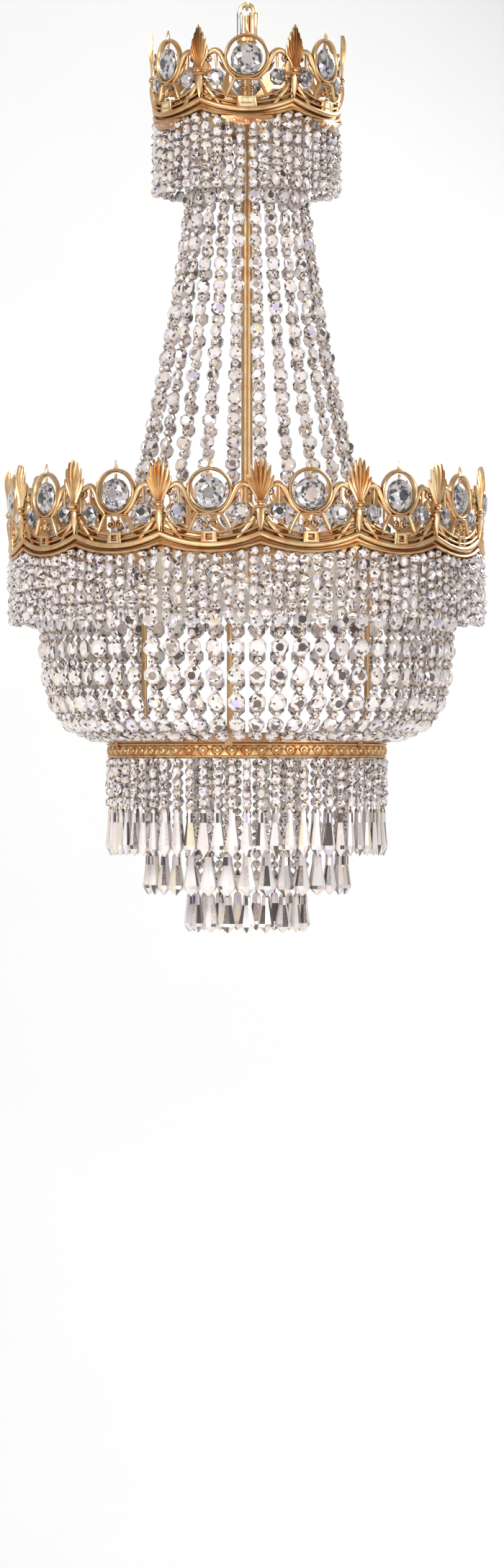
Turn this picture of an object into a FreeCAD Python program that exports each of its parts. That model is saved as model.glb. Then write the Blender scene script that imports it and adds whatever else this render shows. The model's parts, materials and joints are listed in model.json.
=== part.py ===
import FreeCAD, Part
import math
import os

import Sketcher
from FreeCAD import Vector

# A crystal chandelier in millimetres, +Z up. The origin is the middle of the ceiling crossbar's
# top face. Azimuth 0 is the front (-Y); azimuths grow towards +X.

DOC = FreeCAD.newDocument("chandelier")
UP = Vector(0, 0, 1)
ORIGIN = Vector(0, 0, 0)

SIZES = {
    # ceiling fitting
    "crossbar_length": 100, "crossbar_width": 20, "crossbar_thickness": 2.5,
    "ceiling_screw_spacing": 70, "ceiling_screw_radius": 2.6,
    "canopy_radius": 60, "canopy_depth": 34, "canopy_wall": 1.2,
    "nipple_radius": 4.9, "thread_clearance": 0.1, "nipple_top_gap": 0.5,
    "locknut_radius": 8, "locknut_height": 4,
    "ring_nut_radius": 13, "ring_nut_height": 8,
    "eye_neck": 4, "eye_ring_radius": 9, "eye_wire_radius": 2.4,
    "terminal_length": 28, "terminal_width": 14, "terminal_height": 14, "terminal_offset": 26,
    # chain and yoke: ring and link radii are those of the wire's centre line
    "link_wire_radius": 2, "link_half_width": 7.5, "link_length": 33.2, "hang_gap": 0.3,
    "yoke_wire_radius": 2.5, "yoke_half_width": 7.5, "yoke_leg": 28.2,
    "yoke_base_radius": 11, "yoke_base_height": 4,
    "cap_height": 6.8, "cap_lower_radius": 7.5,
    # stem
    "rod_radius": 2.7, "rod_reach_into_yoke": 24, "stem_radius": 6.15, "stem_bore_radius": 4,
    "stem_top_to_upper_crown": 66.5, "crown_spacing": 464.4,
    # crowns, ringed with castings of nearly one width
    "upper_radius": 96.5, "lower_radius": 250, "upper_units": 6, "lower_units": 15,
    "upper_first_azimuth": 0, "lower_first_azimuth": -8.8, "casting_back": 2.5, "casting_gap": 0.5,
    "swag_depth": 17, "palmette_height": 80, "palmette_back": 3.8, "palmette_bulge": 5,
    "upper_palmette_half_width": 9.8, "lower_palmette_half_width": 12.4,
    "post_inset": 1.6, "post_width": 3.2, "post_height": 60, "post_half_depth": 1.7,
    "rail_base": 2.5, "rail_rise": 24, "rail_curve": 3.4, "rail_width": 3, "rail_inside": 2,
    "rail_outside": 2.2, "scroll_width": 4.6, "scroll_half_depth": 2.5, "leg_width": 3,
    "leg_half_depth": 1.9, "leg_foot": 22, "medallion_half_depth": 2.25, "finial_height": 10.5,
    "finial_half_depth": 1.2, "block_width": 8, "block_inside": 2.1, "block_outside": 4,
    "block_foot": 14,
    "medallion_height": 46, "medallion_radius": 22.5, "medallion_band": 4.6,
    "crystal_radius": 16, "crystal_thickness": 12, "crystal_drop": 3,
    "crystal_pin": 1.6, "crystal_gap": 0.5,
    "arch_crystal_radius": 9.4, "arch_crystal_thickness": 8, "arch_crystal_height": 24.5,
    "arch_crystal_offset": 33, "arch_pin_top": 49,
    # frames
    "ring_wall": 2, "upper_ring_height": 12, "lower_ring_height": 14,
    "upper_ring_drop": 4, "lower_ring_drop": 3,
    "hub_radius": 11, "hub_height": 11.5, "hub_drop": 2,
    "spoke_width": 6, "spoke_thickness": 3, "spokes": 6,
    "neck_top_radius": 57.5, "neck_bottom_radius": 134.5, "neck_flare": 1.53,
    "neck_ring_width": 4, "neck_ring_height": 3,
    "arms": 6, "first_arm_azimuth": -7.3, "arm_width": 8, "arm_thickness": 4, "arm_drop": 5.6,
    "arm_plate_radius": 18, "hub_cup_radius": 15, "hub_cup_lip": 4, "hub_body_radius": 12,
    "hub_body_height": 23, "hub_nut_radius": 7, "hub_nut_height": 9, "hub_nut_depth": 7,
    # lamps
    "lamp_reach": 95, "holder_radius": 13, "holder_height": 28, "holder_bore_radius": 7.2,
    "holder_bore_depth": 22, "lamp_clearance": 0.2, "bulb_radius": 16, "bulb_length": 46,
    "bulb_cap_length": 20, "lead_radius": 1.2, "lead_bend": 2.8, "lead_hole_radius": 2.9,
    # bowl
    "bowl_top_radius": 224, "bowl_taper": 12, "bowl_depth": 196, "bowl_corner": 8,
    "bowl_ring_radius": 150, "bowl_ring_wall": 2.5, "bowl_ring_height": 10, "bowl_seat": 3,
    "tie_rod_radius": 3, "tie_rod_reach": 140, "tie_rods": 3,
    # tiers under the bowl
    "bar_width": 8, "bar_thickness": 4, "tier_one_radius": 146.5, "tier_one_height": 12,
    "tier_wall": 2, "tier_two_radius": 105.5, "tier_three_radius": 62,
    "tier_ring_width": 3, "tier_ring_height": 4,
    "tier_one_bead_run": 53, "tier_two_bead_run": 108, "tier_three_bead_run": 127.5,
    "tier_one_count": 60, "tier_two_count": 32, "tier_three_count": 19,
    "tier_one_drop": 51, "tier_two_drop": 45.5, "tier_three_drop": 42,
    "tier_one_drop_width": 13.4, "tier_two_drop_width": 18, "tier_three_drop_width": 17.6,
    "kite_bead": 24, "kite_bead_width": 16,
    # bead strings
    "string_pin": 1.2, "small_bead": 11, "small_bead_ratio": 0.64, "small_bead_pitch": 10.6,
    "strings_per_unit": 8, "upper_skirt_drop": 92, "lower_skirt_drop": 86.6, "skirt_out": 0.7,
    "neck_strings": 24, "neck_bead_pitch": 24.3, "neck_bead_length": 16.5,
    "neck_top_bead": 14.4, "neck_bottom_bead": 17, "neck_bead_thickness": 9,
    "bowl_strings": 60, "bowl_bead_pitch": 29, "bowl_bead_length": 20, "bowl_bead": 19.6,
    "bowl_bead_thickness": 8.5, "bead_crowding": 0.86, "string_gap": 0.3,
}

# Outlines. The front of the swag band, as (distance out, rise above the swag line):
BAND_FRONT = [(3, -2.2), (3.5, 0.8), (1, 3), (2.6, 5.8), (2.6, 8.8)]
# A scroll from the foot of the medallion ring, as (along, rise above the ring's middle) in shares
# of the ring's radius; its last point lies on the end post:
SCROLL_PATH = [(0.55, -1), (0.9, -0.58), (1.09, -0.18), (1.26, 0.16), (1.5, 0.31), (1.73, 0.24),
               (1.93, 0.07)]
SCROLL_END = -0.18
# A palmette from its tip to its spear, as shares of its height and of its half width:
PALMETTE_OUTLINE = [(1.0, 0.04), (0.95, 0.42), (0.87, 0.78), (0.775, 1.0), (0.675, 0.9), (0.575, 0.64),
                    (0.485, 0.4), (0.455, 0.42), (0.445, 0.54), (0.395, 0.54), (0.38, 0.36),
                    (0.275, 0.46), (0.15, 0.3), (0.05, 0.05)]
# A cut stone through its thickness, as (depth, radius) in shares; a drop and a kite bead down
# their length, as (distance down, width) in shares:
STONE_SECTION = [(-0.5, 0.48), (-0.07, 1), (0.07, 1), (0.5, 0.48)]
DROP_OUTLINE = [(0.1, 0.3), (0.2, 0.42), (0.74, 1.0), (1.0, 0.06)]
KITE_WIDEST = 0.36


def make_sheet(name, values):
    """Spreadsheet with one plain number per row and its alias beside it."""
    sheet = DOC.addObject("Spreadsheet::Sheet", name)
    for row, (alias, value) in enumerate(values.items(), start=1):
        sheet.set(f"A{row}", alias)
        sheet.set(f"B{row}", str(value))
        sheet.setAlias(f"B{row}", alias)
    return sheet


sizes_sheet = make_sheet("sizes", SIZES)
DOC.recompute()


class Values:
    """The sheet's numbers by name."""

    def __getattr__(self, name):
        return float(sizes_sheet.get(name))


size = Values()


def count(name):
    """A whole number from the sheet."""
    return int(round(float(sizes_sheet.get(name))))


def work_out_levels():
    """Heights and radii that follow from the sizes, from the ceiling down."""
    level = {}
    level["canopy_bottom"] = -size.canopy_depth
    level["canopy_sphere"] = (size.canopy_radius ** 2 + size.canopy_depth ** 2) / (2 * size.canopy_depth)
    level["ring_nut_bottom"] = level["canopy_bottom"] - size.ring_nut_height
    level["nipple_bottom"] = level["ring_nut_bottom"] - size.eye_neck
    level["eye_middle"] = level["nipple_bottom"] - size.eye_ring_radius
    level["eye_bar"] = level["eye_middle"] - size.eye_ring_radius
    seat = size.eye_wire_radius + size.link_wire_radius + size.hang_gap
    level["upper_link_top"] = level["eye_bar"] + seat
    level["upper_link_bar"] = level["upper_link_top"] - size.link_length
    seat = 2 * size.link_wire_radius + size.hang_gap
    level["lower_link_top"] = level["upper_link_bar"] + seat
    level["lower_link_bar"] = level["lower_link_top"] - size.link_length
    seat = size.link_wire_radius + size.yoke_wire_radius + size.hang_gap
    level["yoke_top"] = level["lower_link_bar"] + seat
    level["yoke_arch"] = level["yoke_top"] - size.yoke_half_width
    level["yoke_base_top"] = level["yoke_arch"] - size.yoke_leg
    level["yoke_base_bottom"] = level["yoke_base_top"] - size.yoke_base_height
    level["stem_top"] = level["yoke_base_bottom"] - size.cap_height
    level["rod_top"] = level["yoke_base_top"] + size.rod_reach_into_yoke
    level["upper_cusp"] = level["stem_top"] - size.stem_top_to_upper_crown
    level["lower_cusp"] = level["upper_cusp"] - size.crown_spacing
    level["upper_ring_outer"] = size.upper_radius - size.casting_back - size.casting_gap
    level["lower_ring_outer"] = size.lower_radius - size.casting_back - size.casting_gap
    level["upper_ring_bottom"] = level["upper_cusp"] - size.upper_ring_drop - size.upper_ring_height
    level["lower_ring_bottom"] = level["lower_cusp"] - size.lower_ring_drop - size.lower_ring_height
    level["hub_top"] = level["upper_cusp"] - size.hub_drop
    level["hub_bottom"] = level["hub_top"] - size.hub_height
    level["spoke_bottom"] = (level["hub_top"] + level["hub_bottom"] - size.spoke_thickness) / 2
    level["neck_top"] = level["spoke_bottom"] - size.neck_ring_height
    level["arm_top"] = level["lower_cusp"] - size.arm_drop
    level["arm_bottom"] = level["arm_top"] - size.arm_thickness
    level["neck_bottom"] = level["arm_top"] + size.neck_ring_height
    level["bowl_top"] = level["arm_bottom"] - size.neck_ring_height
    level["bowl_end"] = level["bowl_top"] - size.bowl_depth
    level["bar_top"] = level["bowl_end"] - size.bowl_seat
    level["bar_bottom"] = level["bar_top"] - size.bar_thickness
    level["tier_one_bottom"] = level["bar_bottom"] - size.tier_one_height
    level["tier_ring_bottom"] = level["bar_bottom"] - size.tier_ring_height
    level["tie_rod_length"] = level["arm_bottom"] - level["bar_top"]
    level["hub_body_bottom"] = level["arm_bottom"] - size.hub_body_height
    level["hub_nut_bottom"] = level["hub_body_bottom"] - size.hub_nut_height
    level["rod_bottom"] = level["hub_body_bottom"] - size.hub_nut_depth + size.thread_clearance
    level["rod_length"] = level["rod_top"] - level["rod_bottom"]
    level["stem_length"] = level["stem_top"] - level["arm_top"]
    level["holder_bottom"] = level["arm_bottom"] - size.holder_height
    return level


LEVELS = work_out_levels()
make_sheet("levels", LEVELS)
DOC.recompute()

PARTS = []


def keep(piece, label):
    """Give a finished sub-part its name and list it for export."""
    piece.Label = label
    PARTS.append(piece)
    return piece


# ---------------------------------------------------------------- primitives bound to the sheets


def bind(piece, **expressions):
    for prop, expression in expressions.items():
        piece.setExpression(prop.replace("__", "."), expression)
    return piece


def cylinder(name, radius, height, bottom, along_x="0", along_y="0"):
    """Upright cylinder."""
    piece = DOC.addObject("Part::Cylinder", name)
    bind(piece, Radius=radius, Height=height)
    return bind(piece, Placement__Base__x=along_x, Placement__Base__y=along_y,
                Placement__Base__z=bottom)


def cone(name, lower, upper, height, bottom):
    piece = DOC.addObject("Part::Cone", name)
    return bind(piece, Radius1=lower, Radius2=upper, Height=height, Placement__Base__z=bottom)


def ring_of_wire(name, radius, wire, middle, facing, half=None):
    """Upright wire ring, or its upper or lower half, that faces along X or Y."""
    piece = DOC.addObject("Part::Torus", name)
    bind(piece, Radius1=radius, Radius2=wire)
    stand_up = FreeCAD.Rotation(Vector(1, 0, 0), 90)
    if half:
        piece.Angle3 = 180
    if half == "lower":
        stand_up = FreeCAD.Rotation(Vector(1, 0, 0), -90)
    turn = FreeCAD.Rotation(UP, 90 if facing == "X" else 0)
    piece.Placement = FreeCAD.Placement(ORIGIN, turn.multiply(stand_up))
    return bind(piece, Placement__Base__z=middle)


def fuse(name, *pieces):
    joined = DOC.addObject("Part::MultiFuse", name)
    joined.Shapes = list(pieces)
    return joined


def cut(name, base, tool):
    piece = DOC.addObject("Part::Cut", name)
    piece.Base = base
    piece.Tool = tool
    return piece


def solid_of(shape):
    """The single solid inside a shape."""
    if len(shape.Solids) != 1:
        raise ValueError(f"expected one solid, found {len(shape.Solids)}")
    return shape.Solids[0]


def feature(label, shapes):
    """Sub-part made of one or more solids worked out below."""
    piece = DOC.addObject("Part::Feature", label)
    piece.Shape = shapes[0] if len(shapes) == 1 else Part.makeCompound(shapes)
    return keep(piece, label)


def turned(shape, azimuth):
    """Copy of a shape turned about the chandelier's axis, in degrees."""
    copy = shape.copy()
    copy.rotate(ORIGIN, UP, azimuth)
    return copy


def around(shape, copies, first=0):
    """Evenly spaced copies of a shape about the chandelier's axis."""
    return [turned(shape, first + 360 * i / copies) for i in range(copies)]


# ---------------------------------------------------------------- sketched frames


def frame_body(label):
    return keep(DOC.addObject("PartDesign::Body", label), label)


def sketch_on(body, name, height):
    """Sketch parallel to the body's XY plane at a height."""
    sketch = body.newObject("Sketcher::SketchObject", name)
    plane = next(f for f in body.Origin.OriginFeatures if f.Role == "XY_Plane")
    sketch.AttachmentSupport = (plane, "")
    sketch.MapMode = "FlatFace"
    sketch.setExpression("AttachmentOffset.Base.z", height)
    return sketch


def draw_circle(sketch, name, radius):
    index = sketch.addGeometry(Part.Circle(ORIGIN, UP, 10), False)
    sketch.addConstraint(Sketcher.Constraint("Coincident", index, 3, -1, 1))
    rule = sketch.addConstraint(Sketcher.Constraint("Radius", index, 10))
    sketch.renameConstraint(rule, name)
    sketch.setExpression("Constraints." + name, radius)


def draw_bar(sketch, start, end, width):
    """Rectangle along +X, centred on the X axis, from one distance to another."""
    corners = [Vector(10, -2, 0), Vector(30, -2, 0), Vector(30, 2, 0), Vector(10, 2, 0)]
    for i in range(4):
        sketch.addGeometry(Part.LineSegment(corners[i], corners[(i + 1) % 4]), False)
    for i in range(4):
        sketch.addConstraint(Sketcher.Constraint("Coincident", i, 2, (i + 1) % 4, 1))
    for i, direction in ((0, "Horizontal"), (2, "Horizontal"), (3, "Vertical")):
        sketch.addConstraint(Sketcher.Constraint(direction, i))
    sketch.addConstraint(Sketcher.Constraint("Symmetric", 1, 1, 1, 2, -1))
    rules = (("start", Sketcher.Constraint("DistanceX", -1, 1, 0, 1, 10), start),
             ("end", Sketcher.Constraint("DistanceX", -1, 1, 0, 2, 30), end),
             ("width", Sketcher.Constraint("DistanceY", 1, 1, 1, 2, 4), width))
    for name, rule, value in rules:
        sketch.renameConstraint(sketch.addConstraint(rule), name)
        sketch.setExpression("Constraints." + name, value)


def pad(body, sketch, name, thickness):
    piece = body.newObject("PartDesign::Pad", name)
    piece.Profile = sketch
    piece.setExpression("Length", thickness)
    return piece


def add_ring(body, name, outer, inner, height, bottom):
    """Flat ring, or a disc where inner is None."""
    sketch = sketch_on(body, name + "_sketch", bottom)
    draw_circle(sketch, "outer", outer)
    if inner:
        draw_circle(sketch, "inner", inner)
    return pad(body, sketch, name, height)


def add_arms(body, name, start, end, width, thickness, bottom, copies, first_azimuth):
    """Straight arms set evenly round the axis. The first one lies at first_azimuth."""
    sketch = sketch_on(body, name + "_sketch", bottom)
    sketch.setExpression("AttachmentOffset.Rotation.Angle", f"{first_azimuth} - 90")
    sketch.setExpression("AttachmentOffset.Rotation.Axis.z", "1")
    draw_bar(sketch, start, end, width)
    arm = pad(body, sketch, name, thickness)
    DOC.recompute()
    pattern = body.newObject("PartDesign::PolarPattern", name + "_pattern")
    pattern.Originals = [arm]
    axis = next(f for f in body.Origin.OriginFeatures if f.Role == "Z_Axis")
    pattern.Axis = (axis, [""])
    pattern.Angle = 360
    pattern.setExpression("Occurrences", copies)
    body.Tip = pattern
    DOC.recompute()
    return pattern


# ---------------------------------------------------------------- faceted solids


def polygon_face(points):
    return Part.Face(Part.makePolygon(points + points[:1]))


def end_faces(corners):
    """End of a skinned solid: one face, or two triangles where four corners aren't in a plane."""
    if len(corners) == 4:
        a, b, c, d = corners
        normal = (b - a).cross(c - a)
        if abs(normal.dot(d - a)) > 1e-7 * max(normal.Length, 1e-9):
            return [polygon_face([a, b, c]), polygon_face([a, c, d])]
    return [polygon_face(corners)]


def faceted(rings, closed=False, flat=False):
    """Solid skinned over rows of matching corner points; flat keeps each side as one face."""
    faces = []
    rows = len(rings) if closed else len(rings) - 1
    for i in range(rows):
        here, after = rings[i], rings[(i + 1) % len(rings)]
        for j in range(len(here)):
            k = (j + 1) % len(here)
            if flat:
                faces.append(polygon_face([here[j], here[k], after[k], after[j]]))
            else:
                faces.append(polygon_face([here[j], here[k], after[k]]))
                faces.append(polygon_face([here[j], after[k], after[j]]))
    if not closed:
        faces += end_faces(rings[0]) + end_faces(rings[-1])
    solid = Part.makeSolid(Part.makeShell(faces))
    if solid.Volume < 0:
        solid.reverse()
    return solid


class Crown:
    """Cylinder on which a crown's castings are laid out: arc length from the front, height
    above the cusps where the swags meet, and distance out from the casting's middle."""

    def __init__(self, radius, cusp, units):
        self.radius = radius
        self.cusp = cusp
        self.casting_width = 2 * math.pi * radius / units

    def swag_height(self, along):
        """Height of the lower rail's middle: a parabola between two cusps."""
        share = 2 * along / self.casting_width
        return -size.swag_depth * (1 - share ** 2)

    def point(self, along, height, out=0.0):
        angle = along / self.radius
        reach = self.radius + out
        return Vector(reach * math.sin(angle), -reach * math.cos(angle), self.cusp + height)

    def strip(self, path, width, inside, outside, closed=False):
        """Bar of rectangular section along a path of (along, height) points. The width may be
        one number or one per point."""
        widths = width if isinstance(width, list) else [width] * len(path)
        rings = []
        last = len(path) - 1
        for i, (along, height) in enumerate(path):
            before = path[i - 1] if (i > 0 or closed) else path[0]
            after = path[(i + 1) % len(path)] if (i < last or closed) else path[last]
            ahead = unit(after[0] - along, after[1] - height)
            behind = unit(along - before[0], height - before[1])
            ahead = ahead or behind
            behind = behind or ahead
            run = unit(ahead[0] + behind[0], ahead[1] + behind[1])
            side = (-run[1], run[0])
            mitre = side[0] * -ahead[1] + side[1] * ahead[0]
            half = widths[i] / 2 / mitre
            left = (along + side[0] * half, height + side[1] * half)
            right = (along - side[0] * half, height - side[1] * half)
            rings.append([self.point(*left, inside), self.point(*left, outside),
                          self.point(*right, outside), self.point(*right, inside)])
        return faceted(rings, closed)


def unit(x, y):
    length = math.hypot(x, y)
    return (x / length, y / length) if length > 1e-9 else None


def mirrored(path):
    return [(-along, height) for along, height in path]


# ---------------------------------------------------------------- ceiling fitting


def make_crossbar():
    """Flat bar against the ceiling, with two screw holes and a middle hole for the nipple."""
    bar = DOC.addObject("Part::Box", "crossbar_blank")
    bind(bar, Length="sizes.crossbar_length", Width="sizes.crossbar_width",
         Height="sizes.crossbar_thickness", Placement__Base__x="-sizes.crossbar_length / 2",
         Placement__Base__y="-sizes.crossbar_width / 2", Placement__Base__z="-sizes.crossbar_thickness")
    through = ("sizes.crossbar_thickness * 2", "-sizes.crossbar_thickness * 1.5")
    holes = fuse("crossbar_holes",
                 cylinder("nipple_hole", "sizes.nipple_radius + sizes.thread_clearance", *through),
                 cylinder("screw_hole_left", "sizes.ceiling_screw_radius", *through,
                          "-sizes.ceiling_screw_spacing / 2"),
                 cylinder("screw_hole_right", "sizes.ceiling_screw_radius", *through,
                          "sizes.ceiling_screw_spacing / 2"))
    return keep(cut("crossbar_cut", bar, holes), "ceiling_crossbar")


def make_canopy():
    """Thin domed cover, open against the ceiling."""
    dome = DOC.addObject("Part::Sphere", "canopy_outside")
    bind(dome, Radius="levels.canopy_sphere",
         Placement__Base__z="levels.canopy_bottom + levels.canopy_sphere")
    inside = DOC.addObject("Part::Sphere", "canopy_inside")
    bind(inside, Radius="levels.canopy_sphere - sizes.canopy_wall",
         Placement__Base__z="levels.canopy_bottom + levels.canopy_sphere")
    above = cylinder("above_ceiling", "levels.canopy_sphere * 2", "levels.canopy_sphere * 3", "0")
    hole = cylinder("canopy_hole", "sizes.nipple_radius + sizes.thread_clearance * 2",
                    "sizes.canopy_depth", "-sizes.canopy_depth * 1.5")
    shell = cut("canopy_shell", dome, fuse("canopy_hollow", inside, above, hole))
    return keep(shell, "ceiling_canopy")


def make_nipple_parts():
    """Threaded nipple that ends in an eye, its locknut under the crossbar and the ring nut that
    holds the canopy up."""
    shank = cylinder("nipple_shank", "sizes.nipple_radius", "-sizes.nipple_top_gap - levels.nipple_bottom",
                     "levels.nipple_bottom")
    eye = ring_of_wire("eye_ring", "sizes.eye_ring_radius", "sizes.eye_wire_radius",
                       "levels.eye_middle", "X")
    keep(fuse("nipple_and_eye", shank, eye), "canopy_eye")
    bore = "sizes.nipple_radius + sizes.thread_clearance"
    blank = DOC.addObject("Part::Prism", "locknut_blank")
    bind(blank, Circumradius="sizes.locknut_radius", Height="sizes.locknut_height",
         Placement__Base__z="-sizes.crossbar_thickness - sizes.locknut_height")
    blank.Polygon = 6
    hole = cylinder("locknut_bore", bore, "sizes.locknut_height * 2",
                    "-sizes.crossbar_thickness - sizes.locknut_height * 1.5")
    keep(cut("locknut_cut", blank, hole), "crossbar_locknut")
    nut = cone("ring_nut_blank", "sizes.ring_nut_radius * 0.7", "sizes.ring_nut_radius",
               "sizes.ring_nut_height", "levels.ring_nut_bottom")
    hole = cylinder("ring_nut_bore", bore, "sizes.ring_nut_height * 2",
                    "levels.ring_nut_bottom - sizes.ring_nut_height / 2")
    keep(cut("ring_nut_cut", nut, hole), "canopy_ring_nut")


def make_terminal_block():
    block = DOC.addObject("Part::Box", "terminal_block")
    bind(block, Length="sizes.terminal_length", Width="sizes.terminal_width",
         Height="sizes.terminal_height",
         Placement__Base__x="sizes.terminal_offset - sizes.terminal_length / 2",
         Placement__Base__y="-sizes.terminal_width / 2",
         Placement__Base__z="-sizes.crossbar_thickness - sizes.terminal_height")
    keep(block, "terminal_block")


# ---------------------------------------------------------------- chain and yoke


def make_link(label, top, facing):
    """Chain link: two straight legs between half rings."""
    radius, wire = "sizes.link_half_width", "sizes.link_wire_radius"
    upper_middle = f"{top} - {radius}"
    lower_middle = f"{top} - sizes.link_length + {radius}"
    across = "along_y" if facing == "X" else "along_x"
    leg = (wire, f"sizes.link_length - 2 * {radius}", lower_middle)
    parts = [ring_of_wire(label + "_top", radius, wire, upper_middle, facing, "upper"),
             ring_of_wire(label + "_bottom", radius, wire, lower_middle, facing, "lower"),
             cylinder(label + "_leg_a", *leg, **{across: radius}),
             cylinder(label + "_leg_b", *leg, **{across: f"-{radius}"})]
    return keep(fuse(label + "_fused", *parts), label)


def make_yoke():
    """Stirrup with an arch over two legs, standing on a round base with a hole for the rod."""
    radius, wire = "sizes.yoke_half_width", "sizes.yoke_wire_radius"
    leg = (wire, "sizes.yoke_leg + sizes.yoke_base_height / 2",
           "levels.yoke_base_top - sizes.yoke_base_height / 2")
    stirrup = fuse("yoke_stirrup",
                   ring_of_wire("yoke_arch", radius, wire, "levels.yoke_arch", "Y", "upper"),
                   cylinder("yoke_leg_left", *leg, "-" + radius),
                   cylinder("yoke_leg_right", *leg, radius),
                   cylinder("yoke_base", "sizes.yoke_base_radius", "sizes.yoke_base_height",
                            "levels.yoke_base_bottom"))
    hole = cylinder("yoke_bore", "sizes.rod_radius + sizes.thread_clearance",
                    "sizes.yoke_base_height * 2",
                    "levels.yoke_base_bottom - sizes.yoke_base_height / 2")
    keep(cut("yoke_cut", stirrup, hole), "stem_yoke")


def bored(label, blank, radius, height, bottom):
    """A blank with a round hole right through it."""
    hole = cylinder(label + "_bore", radius, f"({height}) * 2", f"{bottom} - ({height}) / 2")
    return keep(cut(label + "_cut", blank, hole), label)


def make_stem():
    """Cap, tube and the rod inside it that draws the whole column together."""
    rod_hole = "sizes.rod_radius + sizes.thread_clearance"
    cap = cone("cap_blank", "sizes.cap_lower_radius", "sizes.yoke_base_radius",
               "sizes.cap_height", "levels.stem_top")
    bored("stem_cap", cap, rod_hole, "sizes.cap_height", "levels.stem_top")
    tube = cylinder("stem_blank", "sizes.stem_radius", "levels.stem_length", "levels.arm_top")
    bored("stem_tube", tube, "sizes.stem_bore_radius", "levels.stem_length", "levels.arm_top")
    keep(cylinder("rod_blank", "sizes.rod_radius", "levels.rod_length", "levels.rod_bottom"), "stem_rod")
    hub = fuse("lower_hub_blank",
               cylinder("hub_body", "sizes.hub_body_radius", "sizes.hub_body_height",
                        "levels.hub_body_bottom"),
               cylinder("hub_lip", "sizes.hub_cup_radius", "sizes.hub_cup_lip",
                        "levels.arm_bottom - sizes.hub_cup_lip"))
    bored("lower_hub", hub, rod_hole, "sizes.hub_body_height", "levels.hub_body_bottom")
    nut = cone("hub_nut_blank", "sizes.hub_nut_radius * 0.5", "sizes.hub_nut_radius",
               "sizes.hub_nut_height", "levels.hub_nut_bottom")
    blind = cylinder("hub_nut_bore", rod_hole, "sizes.hub_nut_depth * 2",
                     "levels.hub_body_bottom - sizes.hub_nut_depth")
    keep(cut("hub_nut_cut", nut, blind), "hub_nut")


# ---------------------------------------------------------------- frames


def make_upper_frame():
    """Hub on the stem, spokes, the hoop behind the upper crown and the ring that the neck hangs from."""
    body = frame_body("upper_frame")
    add_ring(body, "upper_hub", "sizes.hub_radius", "sizes.stem_radius + sizes.thread_clearance",
             "sizes.hub_height", "levels.hub_bottom")
    add_arms(body, "upper_spokes", "sizes.hub_radius - 1", "levels.upper_ring_outer - 1",
             "sizes.spoke_width", "sizes.spoke_thickness", "levels.spoke_bottom", "sizes.spokes", "30")
    add_ring(body, "upper_hoop", "levels.upper_ring_outer", "levels.upper_ring_outer - sizes.ring_wall",
             "sizes.upper_ring_height", "levels.upper_ring_bottom")
    add_ring(body, "neck_hanger", "sizes.neck_top_radius + sizes.neck_ring_width / 2",
             "sizes.neck_top_radius - sizes.neck_ring_width / 2", "sizes.neck_ring_height",
             "levels.neck_top")
    return body


def make_lower_frame():
    """Plate, arms and the hoop behind the lower crown, with holes for the rod and the lamp leads."""
    body = frame_body("lower_frame")
    add_ring(body, "arm_plate", "sizes.arm_plate_radius", "sizes.rod_radius + sizes.thread_clearance",
             "sizes.arm_thickness", "levels.arm_bottom")
    add_arms(body, "frame_arms", "sizes.arm_plate_radius - 1", "levels.lower_ring_outer - 1",
             "sizes.arm_width", "sizes.arm_thickness", "levels.arm_bottom", "sizes.arms",
             "sizes.first_arm_azimuth")
    add_ring(body, "lower_hoop", "levels.lower_ring_outer", "levels.lower_ring_outer - sizes.ring_wall",
             "sizes.lower_ring_height", "levels.lower_ring_bottom")
    sketch = sketch_on(body, "lead_hole_sketch", "levels.arm_top")
    sketch.setExpression("AttachmentOffset.Rotation.Angle", "sizes.first_arm_azimuth - 90")
    sketch.setExpression("AttachmentOffset.Rotation.Axis.z", "1")
    index = sketch.addGeometry(Part.Circle(Vector(50, 0, 0), UP, 2), False)
    rules = (("reach", Sketcher.Constraint("DistanceX", -1, 1, index, 3, 50), "sizes.lamp_reach"),
             ("radius", Sketcher.Constraint("Radius", index, 2), "sizes.lead_hole_radius"))
    sketch.addConstraint(Sketcher.Constraint("PointOnObject", index, 3, -1))
    for name, rule, value in rules:
        sketch.renameConstraint(sketch.addConstraint(rule), name)
        sketch.setExpression("Constraints." + name, value)
    hole = body.newObject("PartDesign::Pocket", "lead_hole")
    hole.Profile = sketch
    hole.setExpression("Length", "sizes.arm_thickness")
    DOC.recompute()
    before = body.Shape.Volume
    pattern = body.newObject("PartDesign::PolarPattern", "lead_holes")
    pattern.Originals = [hole]
    axis = next(f for f in body.Origin.OriginFeatures if f.Role == "Z_Axis")
    pattern.Axis = (axis, [""])
    pattern.Angle = 360
    pattern.setExpression("Occurrences", "sizes.arms")
    body.Tip = pattern
    DOC.recompute()
    print("lead holes cut", round(before - body.Shape.Volume, 1))
    return body


def make_plain_ring(label, outer, inner, height, bottom):
    blank = cylinder(label + "_blank", outer, height, bottom)
    return bored(label, blank, inner, height, bottom)


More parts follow.
